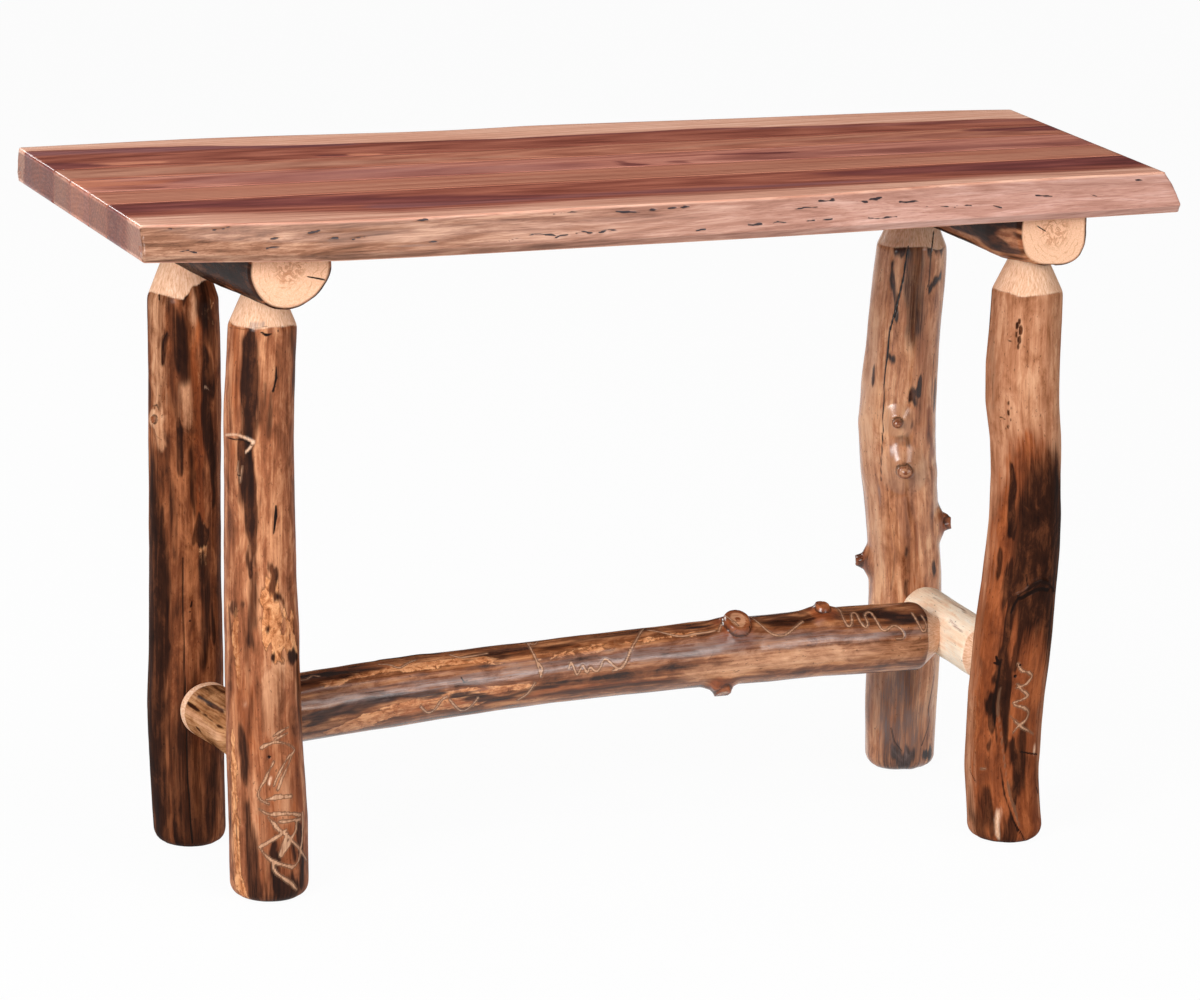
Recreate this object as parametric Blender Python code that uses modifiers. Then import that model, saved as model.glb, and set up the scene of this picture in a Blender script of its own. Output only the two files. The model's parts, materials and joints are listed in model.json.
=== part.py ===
"""Rustic sofa table: a live-edge board top on two bolsters, four log legs, two rungs and a stretcher."""

import math

import bmesh
import bpy
from mathutils import Vector

# Overall sizes in metres, with X along the table, Y to the back, Z up and the floor at Z = 0
LENGTH = 1.190
DEPTH = 0.530
HEIGHT = 0.762
TOP_THICKNESS = 0.038

# Gap left between pieces that touch
SEAT_GAP = 0.0003

# Glue lines of the top, as shares of its depth: the rearmost one at mid length, the inner boards'
# widths, and how far every line drifts to the back from the left end to the right end
BACK_JOINT_Y = 0.221 * DEPTH
BACK_INNER_WIDTH = 0.117 * DEPTH
CENTRE_WIDTH = 0.136 * DEPTH
FRONT_INNER_WIDTH = 0.130 * DEPTH
JOINT_DRIFT = 0.034 * DEPTH

# Live edges: share of the length, how far the edge stands back from the overall depth there, and how
# far its upper arris stands behind its lower bulge
FRONT_EDGE = (
    (0.00, 0.039, 0.013),
    (0.08, 0.021, 0.018),
    (0.17, 0.000, 0.026),
    (0.25, 0.000, 0.025),
    (0.40, 0.006, 0.031),
    (0.55, 0.012, 0.032),
    (0.63, 0.017, 0.031),
    (0.80, 0.030, 0.044),
    (0.92, 0.036, 0.048),
    (1.00, 0.042, 0.043),
)
BACK_EDGE = (
    (0.00, 0.010, 0.006),
    (0.17, 0.000, 0.006),
    (0.22, 0.000, 0.007),
    (0.42, 0.012, 0.008),
    (0.52, 0.007, 0.006),
    (0.76, 0.014, 0.007),
    (0.93, 0.018, 0.008),
    (1.00, 0.028, 0.010),
)
EDGE_STATIONS = 24
EDGE_STEPS = 3
EDGE_FULLNESS = 0.7
BULGE_ABOVE_UNDERSIDE = 0.008
EDGE_TURN_UNDER = 0.005

# Logs
LOG_SIDES = 16
FOOT_ROUND = 0.011
END_EASE = 0.002
TENON_CHAMFER = 0.003

# Legs: the side and face of the table they stand at, how far the foot's centre stands in from the
# end and from the front or back, how much of the cone shows under the bolster, and the trunk as rows
# of share of its height, drift along X, drift along Y, diameter
LEG_TENON_DIAMETER = 0.044
LEG_TENON_COVER = 0.016
LEG_CONE_SEAT = 0.006
LEG_RINGS = 15
LEGS = {
    "front_left": {
        "side": -1, "face": -1, "end_inset": 0.181, "face_inset": 0.146, "cone": 0.030,
        "trunk": (
            (0.00, 0.000, 0.000, 0.088),
            (0.16, -0.004, 0.000, 0.087),
            (0.34, -0.011, 0.002, 0.082),
            (0.52, -0.014, 0.004, 0.079),
            (0.70, -0.016, 0.005, 0.076),
            (0.87, -0.017, 0.006, 0.076),
            (1.00, -0.014, 0.006, 0.075),
        ),
    },
    "back_left": {
        "side": -1, "face": 1, "end_inset": 0.159, "face_inset": 0.165, "cone": 0.042,
        "trunk": (
            (0.00, -0.001, 0.000, 0.082),
            (0.21, -0.005, 0.004, 0.084),
            (0.44, -0.005, 0.008, 0.081),
            (0.63, -0.0055, 0.011, 0.080),
            (0.81, -0.007, 0.014, 0.080),
            (1.00, -0.010, 0.016, 0.078),
        ),
    },
    "front_right": {
        "side": 1, "face": -1, "end_inset": 0.146, "face_inset": 0.126, "cone": 0.031,
        "trunk": (
            (0.00, 0.0015, 0.000, 0.086),
            (0.14, -0.006, 0.000, 0.086),
            (0.25, -0.005, 0.000, 0.088),
            (0.36, 0.000, 0.000, 0.089),
            (0.51, 0.009, 0.000, 0.084),
            (0.60, 0.0125, 0.000, 0.083),
            (0.70, 0.011, 0.000, 0.080),
            (0.84, 0.002, 0.000, 0.084),
            (1.00, 0.003, 0.000, 0.079),
        ),
    },
    "back_right": {
        "side": 1, "face": 1, "end_inset": 0.143, "face_inset": 0.099, "cone": 0.040,
        "trunk": (
            (0.00, 0.001, 0.000, 0.081),
            (0.13, 0.002, 0.000, 0.082),
            (0.36, 0.002, 0.000, 0.082),
            (0.51, -0.006, 0.000, 0.085),
            (0.67, -0.016, -0.001, 0.089),
            (0.82, -0.012, -0.001, 0.084),
            (1.00, -0.006, 0.002, 0.082),
        ),
    },
}

# Bolsters: the legs they lie on, how far the axis lies to the right of the legs' heads, how far the
# front end runs past the front leg, and rows of share from the front end, diameter, and thickness
# under the planed top
BOLSTER_BACK_OVERHANG = 0.066
BOLSTER_RINGS = 6
BOLSTERS = {
    "left": {
        "legs": ("front_left", "back_left"),
        "off_heads": -0.004,
        "front_overhang": 0.082,
        "log": ((0.0, 0.0935, 0.063), (0.25, 0.095, 0.065), (0.5, 0.097, 0.068), (1.0, 0.096, 0.068)),
    },
    "right": {
        "legs": ("front_right", "back_right"),
        "off_heads": -0.001,
        "front_overhang": 0.059,
        "log": ((0.0, 0.083, 0.0575), (0.15, 0.091, 0.066), (0.5, 0.089, 0.0645), (1.0, 0.086, 0.063)),
    },
}

# Rungs: height of the axis, and rows of share from the front leg and diameter
RUNG_TENON_DIAMETER = 0.036
RUNG_TENON_PAST_AXIS = 0.012
RUNG_CONE_STANDOFF = 0.020
RUNG_CONE_SEAT = 0.004
RUNG_RINGS = 6
RUNGS = {
    "left": {"height": 0.164, "log": ((0.0, 0.061), (0.5, 0.060), (1.0, 0.062))},
    "right": {"height": 0.197, "log": ((0.0, 0.062), (0.5, 0.063), (1.0, 0.064))},
}

# Stretcher: how far it bows up, and rows of share from the left rung and diameter
STRETCHER_BOW = 0.013
STRETCHER_TENON_DIAMETER = 0.038
STRETCHER_TENON_PAST_AXIS = 0.008
STRETCHER_CONE_STANDOFF = 0.020
STRETCHER_CONE_SEAT = 0.006
STRETCHER_RINGS = 14
STRETCHER_LOG = (
    (0.00, 0.078),
    (0.12, 0.076),
    (0.24, 0.074),
    (0.42, 0.071),
    (0.60, 0.074),
    (0.73, 0.077),
    (1.00, 0.078),
)

# Cut twigs left on the logs: height or distance along the log, the way they point (degrees from +X
# for a leg, degrees from straight up towards the front for the stretcher), radius at the root and at
# the cut, and how far they stand out of the bark
TWIG_SIDES = 10
TWIG_DEPTH = 0.020
LEG_TWIGS = {
    "twig_right": ("back_right", 0.292, -21.0, 0.014, 0.007, 0.014),
    "twig_left": ("back_right", 0.250, 159.0, 0.012, 0.006, 0.015),
    "knot_large": ("back_right", 0.353, -98.0, 0.016, 0.010, 0.006),
    "knot_small": ("back_right", 0.411, -111.0, 0.011, 0.007, 0.004),
}
STRETCHER_TWIGS = {
    "twig_upper": (0.600, 14.0, 0.019, 0.016, 0.0095),
    "twig_top": (0.711, 0.0, 0.015, 0.008, 0.009),
    "twig_lower": (0.584, 155.0, 0.013, 0.009, 0.010),
}

# Countersunk steel screws: length, shank diameter, head diameter, head depth
SCREW_SIDES = 12
SCREW_POINT = 0.008
DRIVER_REACH = 0.030
LEG_SCREW = (0.060, 0.005, 0.010, 0.004)
RUNG_SCREW = (0.062, 0.005, 0.010, 0.004)
STRETCHER_SCREW = (0.050, 0.005, 0.010, 0.004)
TOP_SCREW = (0.060, 0.006, 0.012, 0.005)
LEG_SCREW_SINK = 0.002
RUNG_SCREW_SINK = 0.007
RUNG_SCREW_DRIFT = -0.009
STRETCHER_SCREW_SINK = 0.005
TOP_SCREW_BITE = 0.022
TOP_SCREW_OFF_LEG = 0.052

# Finishes: colour, roughness, metallic value
WOOD_ROUGHNESS = 0.42
STEEL_ROUGHNESS = 0.35
HEARTWOOD = (0.235, 0.098, 0.072)
PALE_HEARTWOOD = (0.330, 0.165, 0.115)
DARK_HEARTWOOD = (0.165, 0.060, 0.050)
PEELED_LOG = (0.330, 0.165, 0.075)
DARK_LOG = (0.215, 0.095, 0.042)
PALE_LOG = (0.520, 0.325, 0.180)
STEEL = (0.420, 0.420, 0.430)

UNDERSIDE = HEIGHT - TOP_THICKNESS
BOLSTER_TOP = UNDERSIDE - SEAT_GAP
UP = Vector((0.0, 0.0, 1.0))
DOWN = -UP


def slope(rows, index, column):
    """Slope of one column of the rows at a row, from the rows beside it."""
    before = rows[max(index - 1, 0)]
    after = rows[min(index + 1, len(rows) - 1)]
    return (after[column] - before[column]) / (after[0] - before[0])


def smooth(rows, share):
    """Values at a share along a smooth line through rows of share, value and more values."""
    index = sum(1 for row in rows[1:-1] if row[0] <= share)
    low = rows[index]
    high = rows[index + 1]
    span = high[0] - low[0]
    t = (share - low[0]) / span
    values = []
    for column in range(1, len(low)):
        leave = slope(rows, index, column) * span
        arrive = slope(rows, index + 1, column) * span
        rise = high[column] - low[column]
        bend = leave - rise + (2.0 * rise - leave - arrive - (leave - rise)) * t
        values.append(low[column] + rise * t + t * (1.0 - t) * bend)
    return values


def shares(count):
    return [index / count for index in range(count + 1)]


def clear_radius(radius, sides):
    """Radius of a hole of flat sides that clears a round piece by the seat gap."""
    return (radius + SEAT_GAP) / math.cos(math.pi / sides)


def finish(name, colour, roughness, metallic=0.0):
    """A plain material of one colour and gloss."""
    material = bpy.data.materials.new(name)
    material.use_nodes = True
    shader = material.node_tree.nodes["Principled BSDF"]
    shader.inputs["Base Color"].default_value = (*colour, 1.0)
    shader.inputs["Roughness"].default_value = roughness
    shader.inputs["Metallic"].default_value = metallic
    return material


def wood(name, colour):
    return finish(name, colour, WOOD_ROUGHNESS)


def new_collection(name):
    collection = bpy.data.collections.new(name)
    bpy.context.scene.collection.children.link(collection)
    return collection


def as_part(piece, material):
    parts.objects.link(piece)
    piece.data.materials.append(material)
    piece.parent = stand
    return piece


def as_cutter(piece):
    cutters.objects.link(piece)
    piece.hide_render = True
    piece.display_type = "WIRE"
    return piece


def combine(piece, other, operation):
    boolean = piece.modifiers.new(operation.title() + " " + other.name, "BOOLEAN")
    boolean.operation = operation
    boolean.solver = "EXACT"
    boolean.object = other


def lofted(name, rings):
    """A closed mesh through rings of the same count, with the first and last ring capped."""
    shape = bmesh.new()
    loops = [[shape.verts.new(point) for point in ring] for ring in rings]
    for near, far in zip(loops, loops[1:]):
        for index in range(len(near)):
            following = (index + 1) % len(near)
            shape.faces.new((near[index], near[following], far[following], far[index]))
    shape.faces.new(loops[0])
    shape.faces.new(loops[-1])
    bmesh.ops.recalc_face_normals(shape, faces=shape.faces)
    mesh = bpy.data.meshes.new(name)
    shape.to_mesh(mesh)
    shape.free()
    return bpy.data.objects.new(name, mesh)


def log(name, spine, sides=LOG_SIDES):
    """A log of round sections along a spine of centres and radii, with its origin at the first centre."""
    origin = spine[0][0]
    curve = bpy.data.curves.new(name, "CURVE")
    curve.dimensions = "3D"
    curve.bevel_depth = 1.0
    curve.bevel_resolution = sides // 2 - 2
    curve.use_fill_caps = True
    spline = curve.splines.new("POLY")
    spline.points.add(len(spine) - 1)
    for point, (centre, radius) in zip(spline.points, spine):
        point.co = (*(centre - origin), 1.0)
        point.radius = radius
    guide = bpy.data.objects.new(name + "_spine", curve)
    bpy.context.scene.collection.objects.link(guide)
    graph = bpy.context.evaluated_depsgraph_get()
    mesh = bpy.data.meshes.new_from_object(guide.evaluated_get(graph))
    mesh.name = name
    bpy.data.objects.remove(guide)
    shape = bmesh.new()
    shape.from_mesh(mesh)
    bmesh.ops.remove_doubles(shape, verts=shape.verts, dist=0.00001)
    bmesh.ops.recalc_face_normals(shape, faces=shape.faces)
    shape.to_mesh(mesh)
    shape.free()
    mesh.shade_smooth()
    mesh.set_sharp_from_angle(angle=math.radians(35.0))
    piece = bpy.data.objects.new(name, mesh)
    piece.location = origin
    return piece


def turned(name, profile, start, direction, sides):
    """A solid turned about a line from start along direction, from rows of distance and radius."""
    rows = [(profile[0][0], 0.0), *profile, (profile[-1][0], 0.0)]
    if profile[-1][1] == 0.0:
        rows.pop()
    mesh = bpy.data.meshes.new(name)
    points = [(radius, 0.0, -distance) for distance, radius in rows]
    edges = [(index, index + 1) for index in range(len(points) - 1)]
    mesh.from_pydata(points, edges, [])
    piece = bpy.data.objects.new(name, mesh)
    piece.location = start
    piece.rotation_mode = "QUATERNION"
    piece.rotation_quaternion = DOWN.rotation_difference(direction)
    turn = piece.modifiers.new("Turn", "SCREW")
    turn.axis = "Z"
    turn.steps = sides
    turn.render_steps = sides
    turn.use_merge_vertices = True
    turn.merge_threshold = 0.0001
    return piece


# Top boards


def glue_lines(x):
    """Y of the four glue lines at a place along the table, from the back."""
    line = BACK_JOINT_Y + JOINT_DRIFT * x / LENGTH
    lines = [line]
    for width in (BACK_INNER_WIDTH, CENTRE_WIDTH, FRONT_INNER_WIDTH):
        line -= width
        lines.append(line)
    return lines


def live_edge_ring(x, joint, face, setback, undercut):
    """Section of a live-edge board: flat top and underside, square joint, sloping outer edge."""
    bulge = DEPTH / 2 - max(setback, 0.0)
    arris = bulge - undercut
    bulge_height = UNDERSIDE + BULGE_ABOVE_UNDERSIDE
    ring = [(x, joint, UNDERSIDE), (x, joint, HEIGHT)]
    for step in range(EDGE_STEPS + 1):
        t = step / EDGE_STEPS
        out = arris + undercut * t**EDGE_FULLNESS
        ring.append((x, face * out, HEIGHT + (bulge_height - HEIGHT) * t))
    ring.append((x, face * (bulge - EDGE_TURN_UNDER), UNDERSIDE))
    return ring


def live_edge_board(name, glue_line, face, edge, material):
    rings = []
    for share in shares(EDGE_STATIONS):
        x = (share - 0.5) * LENGTH
        joint = glue_lines(x)[glue_line] + face * SEAT_GAP / 2
        rings.append(live_edge_ring(x, joint, face, *smooth(edge, share)))
    return as_part(lofted(name, rings), material)


def straight_board(name, glue_line, material):
    rings = []
    for x in (-LENGTH / 2, LENGTH / 2):
        lines = glue_lines(x)
        back = lines[glue_line] - SEAT_GAP / 2
        front = lines[glue_line + 1] + SEAT_GAP / 2
        rings.append(((x, back, UNDERSIDE), (x, back, HEIGHT), (x, front, HEIGHT), (x, front, UNDERSIDE)))
    return as_part(lofted(name, rings), material)


def boards_over(x, y, radius):
    """Boards that a hole of this radius would enter, the rearmost first."""
    found = []
    lines = [DEPTH / 2, *glue_lines(x), -DEPTH / 2]
    for board, back, front in zip(boards, lines, lines[1:]):
        if front - radius < y < back + radius:
            found.append(board)
    return found


# Legs and bolsters


def leg_section(leg, share):
    """X, Y and radius of a leg at a share of its trunk's height."""
    row = LEGS[leg]
    across, deep, diameter = smooth(row["trunk"], share)
    x = row["side"] * (LENGTH / 2 - row["end_inset"]) + across
    y = row["face"] * (DEPTH / 2 - row["face_inset"]) + deep
    return x, y, diameter / 2


def bolster_ends(side):
    """Front end and back end of a bolster in plan, past the heads of its two legs."""
    row = BOLSTERS[side]
    across = Vector((row["off_heads"], 0.0))
    front, back = [Vector(leg_section(leg, 1.0)[:2]) + across for leg in row["legs"]]
    along = (back - front).normalized()
    return front - along * row["front_overhang"], back + along * BOLSTER_BACK_OVERHANG


def bolster_section(side, share):
    """Centre, radius and lowest height of a bolster at a share from its front end."""
    front, back = bolster_ends(side)
    diameter, thickness = smooth(BOLSTERS[side]["log"], share)
    plan = front.lerp(back, share)
    lowest = BOLSTER_TOP - thickness
    return Vector((plan.x, plan.y, lowest + diameter / 2)), diameter / 2, lowest


def bolster_over(leg):
    """Side of the bolster on a leg, and the share along it where the leg's head is."""
    side = next(side for side, row in BOLSTERS.items() if leg in row["legs"])
    front, back = bolster_ends(side)
    head = Vector(leg_section(leg, 1.0)[:2])
    return side, (head - front).length / (back - front).length


def leg_heights(leg):
    """Heights of a leg's cone base, the start of its tenon and the tenon's top."""
    lowest = bolster_section(*bolster_over(leg))[2]
    return lowest - LEGS[leg]["cone"], lowest + LEG_CONE_SEAT, BOLSTER_TOP - LEG_TENON_COVER


def leg_at(leg, height):
    """Centre and radius of a leg's trunk at a height."""
    x, y, radius = leg_section(leg, height / leg_heights(leg)[0])
    return Vector((x, y, height)), radius


def make_leg(leg, material):
    cone_base, tenon_start, tenon_top = leg_heights(leg)
    x, y, foot_radius = leg_section(leg, 0.0)
    spine = []
    for angle in (0.0, math.pi / 4, math.pi / 2):
        height = FOOT_ROUND * (1.0 - math.cos(angle))
        spine.append((Vector((x, y, height)), foot_radius - FOOT_ROUND * (1.0 - math.sin(angle))))
    for share in shares(LEG_RINGS)[1:]:
        spine.append(leg_at(leg, share * cone_base))
    x, y, _ = leg_section(leg, 1.0)
    tenon = LEG_TENON_DIAMETER / 2
    spine.append((Vector((x, y, tenon_start)), tenon))
    spine.append((Vector((x, y, tenon_top - TENON_CHAMFER)), tenon))
    spine.append((Vector((x, y, tenon_top)), tenon - TENON_CHAMFER))
    return as_part(log("leg_" + leg, spine), material)


def make_bolster(side, material):
    spine = []
    front, back = bolster_ends(side)
    ease = END_EASE / (back - front).length
    for share in (0.0, ease, *shares(BOLSTER_RINGS)[1:-1], 1.0 - ease, 1.0):
        centre, radius, _ = bolster_section(side, share)
        spine.append((centre, radius - END_EASE if share in (0.0, 1.0) else radius))
    bolster = as_part(log("bolster_" + side, spine), material)
    widest = max(row[1] for row in BOLSTERS[side]["log"])
    block = bmesh.new()
    bmesh.ops.create_cube(block, size=1.0)
    bmesh.ops.scale(block, verts=block.verts, vec=(widest * 2.0, DEPTH, widest))
    mesh = bpy.data.meshes.new("planed_" + side)
    block.to_mesh(mesh)
    block.free()
    planed = as_cutter(bpy.data.objects.new("planed_" + side, mesh))
    middle = front.lerp(back, 0.5)
    planed.location = (middle.x, middle.y, BOLSTER_TOP + widest / 2)
    combine(bolster, planed, "DIFFERENCE")
    return bolster


def mortise(name, start, direction, length, cone_length, body_radius, tenon_radius):
    """Cutter for the seat of a cone and tenon that point along direction from the cone's base."""
    profile = (
        (0.0, clear_radius(body_radius, LOG_SIDES)),
        (cone_length, clear_radius(tenon_radius, LOG_SIDES)),
        (length + SEAT_GAP, clear_radius(tenon_radius, LOG_SIDES)),
    )
    return as_cutter(turned(name, profile, start, direction, LOG_SIDES))


def seat_leg(leg):
    """Cuts the leg's seat out of its bolster."""
    cone_base, tenon_start, tenon_top = leg_heights(leg)
    x, y, radius = leg_section(leg, 1.0)
    seat = mortise(
        "seat_" + leg,
        Vector((x, y, cone_base)),
        UP,
        tenon_top - cone_base,
        tenon_start - cone_base,
        radius,
        LEG_TENON_DIAMETER / 2,
    )
    combine(bolsters[bolster_over(leg)[0]], seat, "DIFFERENCE")


# Rungs and stretcher


def limb_spine(path, span, first, last, tenon_radius, rows, rings):
    """Spine of a log with a cone and tenon at each end, along a path given by distance from a joint.

    The ends are given as the distance of the tenon's tip past the joint, of the cone's seat and of
    the cone's base.
    """
    past, seat, base = first
    marks = [(-past, tenon_radius - TENON_CHAMFER)]
    marks.append((TENON_CHAMFER - past, tenon_radius))
    marks.append((seat, tenon_radius))
    body = span - base - last[2]
    for share in shares(rings):
        marks.append((base + body * share, smooth(rows, share)[0] / 2))
    past, seat, _ = last
    marks.append((span - seat, tenon_radius))
    marks.append((span + past - TENON_CHAMFER, tenon_radius))
    marks.append((span + past, tenon_radius - TENON_CHAMFER))
    return [(path(distance), radius) for distance, radius in marks]


def limb_mortise(name, path, joint, inward, end, body_radius, tenon_radius):
    """Seat of one end of a log whose path runs inward, 1 or -1, from the joint's distance."""
    past, seat, base = end
    start = path(joint + inward * base)
    tip = path(joint - inward * past)
    length = (tip - start).length
    return mortise(name, start, (tip - start).normalized(), length, base - seat, body_radius, tenon_radius)


def rung_path(side):
    """Span between the leg axes, path by distance from the front leg's axis, and the legs' radii."""
    joints = [leg_at(leg, RUNGS[side]["height"]) for leg in BOLSTERS[side]["legs"]]
    front, back = joints[0][0], joints[1][0]
    along = (back - front).normalized()
    return (back - front).length, lambda distance: front + along * distance, [joints[0][1], joints[1][1]]


def rung_end(leg_radius):
    return RUNG_TENON_PAST_AXIS, leg_radius - RUNG_CONE_SEAT, leg_radius + RUNG_CONE_STANDOFF


def make_rung(side, material):
    span, path, radii = rung_path(side)
    rows = RUNGS[side]["log"]
    tenon = RUNG_TENON_DIAMETER / 2
    ends = [rung_end(radius) for radius in radii]
    rung = as_part(log("rung_" + side, limb_spine(path, span, *ends, tenon, rows, RUNG_RINGS)), material)
    end_rows = (rows[0], rows[-1])
    for leg, joint, inward, end, row in zip(BOLSTERS[side]["legs"], (0.0, span), (1, -1), ends, end_rows):
        seat = limb_mortise("rung_seat_" + leg, path, joint, inward, end, row[1] / 2, tenon)
        combine(legs[leg], seat, "DIFFERENCE")
    return rung


def rung_middle(side):
    """Centre and radius of a rung at the middle of its length."""
    span, path, _ = rung_path(side)
    return path(span / 2), smooth(RUNGS[side]["log"], 0.5)[0] / 2


def stretcher_path():
    """Span between the rung axes, and the bowed path by distance from the left rung's axis."""
    left = rung_middle("left")[0]
    right = rung_middle("right")[0]
    span = (right - left).length

    def path(distance):
        share = distance / span
        return left.lerp(right, share) + UP * (STRETCHER_BOW * 4.0 * share * (1.0 - share))

    return span, path


def make_stretcher(material):
    span, path = stretcher_path()
    tenon = STRETCHER_TENON_DIAMETER / 2
    ends = []
    for side in RUNGS:
        radius = rung_middle(side)[1]
        seat = radius - STRETCHER_CONE_SEAT
        ends.append((STRETCHER_TENON_PAST_AXIS, seat, radius + STRETCHER_CONE_STANDOFF))
    spine = limb_spine(path, span, *ends, tenon, STRETCHER_LOG, STRETCHER_RINGS)
    made = as_part(log("stretcher", spine), material)
    rows = (STRETCHER_LOG[0], STRETCHER_LOG[-1])
    for side, joint, inward, end, row in zip(RUNGS, (0.0, span), (1, -1), ends, rows):
        seat = limb_mortise("stretcher_seat_" + side, path, joint, inward, end, row[1] / 2, tenon)
        combine(rungs[side], seat, "DIFFERENCE")
    return made


# Twigs and knots


def add_twig(name, piece, centre, radius, direction, root_radius, cut_radius, standout):
    """Joins a tapered stub to a log, rooted under the bark and cut off square."""
    spine = [
        (centre + direction * (radius - TWIG_DEPTH), root_radius),
        (centre + direction * radius, root_radius),
        (centre + direction * (radius + standout), cut_radius),
    ]
    combine(piece, as_cutter(log(name, spine, TWIG_SIDES)), "UNION")


def add_leg_twig(name):
    leg, height, heading, *sizes = LEG_TWIGS[name]
    centre, radius = leg_at(leg, height)
    angle = math.radians(heading)
    direction = Vector((math.cos(angle), math.sin(angle), 0.0))
    add_twig(name, legs[leg], centre, radius, direction, *sizes)


def add_stretcher_twig(name):
    distance, lean, *sizes = STRETCHER_TWIGS[name]
    span, path = stretcher_path()
    angle = math.radians(lean)
    direction = Vector((0.0, -math.sin(angle), math.cos(angle)))
    radius = smooth(STRETCHER_LOG, distance / span)[0] / 2
    add_twig(name, stretcher, path(distance), radius, direction, *sizes)


# Screws


def drive_screw(name, kind, start, direction, pieces):
    """A countersunk screw with its head's top at start, and the hole for it in the pieces it holds."""
    length, shank_diameter, head_diameter, head_depth = kind
    head = head_diameter / 2
    shank = shank_diameter / 2
    profile = ((0.0, head), (head_depth, shank), (length - SCREW_POINT, shank), (length, 0.0))
    as_part(turned(name, profile, start, direction, SCREW_SIDES), steel)
    wide = clear_radius(head, SCREW_SIDES)
    narrow = clear_radius(shank, SCREW_SIDES)
    hole = ((-DRIVER_REACH, wide), (0.0, wide), (head_depth, narrow), (length + SEAT_GAP, narrow))
    cutter = as_cutter(turned(name + "_hole", hole, start, direction, SCREW_SIDES))
    for piece in pieces:
        combine(piece, cutter, "DIFFERENCE")


def drive_leg_screw(leg):
    """Down through the bolster into the leg's tenon."""
    x, y, _ = leg_section(leg, 1.0)
    start = Vector((x, y, BOLSTER_TOP - LEG_SCREW_SINK))
    drive_screw("leg_screw_" + leg, LEG_SCREW, start, DOWN, (bolsters[bolster_over(leg)[0]], legs[leg]))


def drive_rung_screws(side):
    """Through each leg, from the face away from the rung and beside its axis, into the rung's tenon."""
    span, path, radii = rung_path(side)
    beside = Vector((RUNG_SCREW_DRIFT, 0.0, 0.0))
    for leg, joint, inward, radius in zip(BOLSTERS[side]["legs"], (0.0, span), (1, -1), radii):
        start = path(joint - inward * (radius - RUNG_SCREW_SINK))
        direction = (path(joint) - start).normalized()
        drive_screw("rung_screw_" + leg, RUNG_SCREW, start + beside, direction, (legs[leg], rungs[side]))


def drive_stretcher_screws():
    """Through each rung, from its outer side, into the stretcher's tenon."""
    span, path = stretcher_path()
    for side, joint, inward in zip(RUNGS, (0.0, span), (1, -1)):
        start = path(joint - inward * (rung_middle(side)[1] - STRETCHER_SCREW_SINK))
        direction = (path(joint) - start).normalized()
        name = "stretcher_screw_" + side
        drive_screw(name, STRETCHER_SCREW, start, direction, (rungs[side], stretcher))


def drive_top_screws(side):
    """Up through the bolster, past each leg and under the centre board, into the boards."""
    front, back = bolster_ends(side)
    along = (back - front).normalized()
    past_leg = along * TOP_SCREW_OFF_LEG
    lines = glue_lines(front.lerp(back, 0.5).x)
    centre_share = ((lines[1] + lines[2]) / 2 - front.y) / (back.y - front.y)
    places = {
        "front": front + along * BOLSTERS[side]["front_overhang"] - past_leg,
        "centre": front.lerp(back, centre_share),
        "back": back - along * BOLSTER_BACK_OVERHANG + past_leg,
    }
    height = UNDERSIDE + TOP_SCREW_BITE - TOP_SCREW[0]
    for place, plan in places.items():
        start = Vector((plan.x, plan.y, height))
        held = boards_over(plan.x, plan.y, TOP_SCREW[1])
        drive_screw(f"top_screw_{side}_{place}", TOP_SCREW, start, UP, (bolsters[side], *held))


for old in list(bpy.data.objects):
    bpy.data.objects.remove(old, do_unlink=True)

parts = new_collection("sofa_table")
cutters = new_collection("sofa_table_cutters")
stand = bpy.data.objects.new("sofa_table_floor", None)
parts.objects.link(stand)

steel = finish("screw_steel", STEEL, STEEL_ROUGHNESS, 1.0)

boards = (
    live_edge_board("back_live_edge_board", 0, 1, BACK_EDGE, wood("back_board", HEARTWOOD)),
    straight_board("back_inner_board", 0, wood("back_inner", PALE_HEARTWOOD)),
    straight_board("centre_board", 1, wood("centre", HEARTWOOD)),
    straight_board("front_inner_board", 2, wood("front_inner", PALE_HEARTWOOD)),
    live_edge_board("front_live_edge_board", 3, -1, FRONT_EDGE, wood("front_board", DARK_HEARTWOOD)),
)
legs = {leg: make_leg(leg, wood(leg + "_log", PEELED_LOG)) for leg in LEGS}
bolsters = {side: make_bolster(side, wood(side + "_bolster_log", DARK_LOG)) for side in BOLSTERS}
rungs = {side: make_rung(side, wood(side + "_rung_log", PALE_LOG)) for side in RUNGS}
stretcher = make_stretcher(wood("stretcher_log", DARK_LOG))

for twig in LEG_TWIGS:
    add_leg_twig(twig)
for twig in STRETCHER_TWIGS:
    add_stretcher_twig(twig)
for leg in LEGS:
    seat_leg(leg)
    drive_leg_screw(leg)
for side in BOLSTERS:
    drive_rung_screws(side)
    drive_top_screws(side)
drive_stretcher_screws()
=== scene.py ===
# %% [markdown]
# # A rustic sofa table, dressed for its photograph
# The solid model of this table is already built: thirty named pieces, in metres, in one frame. This
# notebook gives them their looks. Nothing solid is moved. Each log and board gets a finer skin that
# is measured on its solid, then worked with bark, cracks, knots and grain.

# %% Load the solid frame
import json
import math

import bpy
import numpy as np
from mathutils import Matrix, Vector
from mathutils.bvhtree import BVHTree

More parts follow.
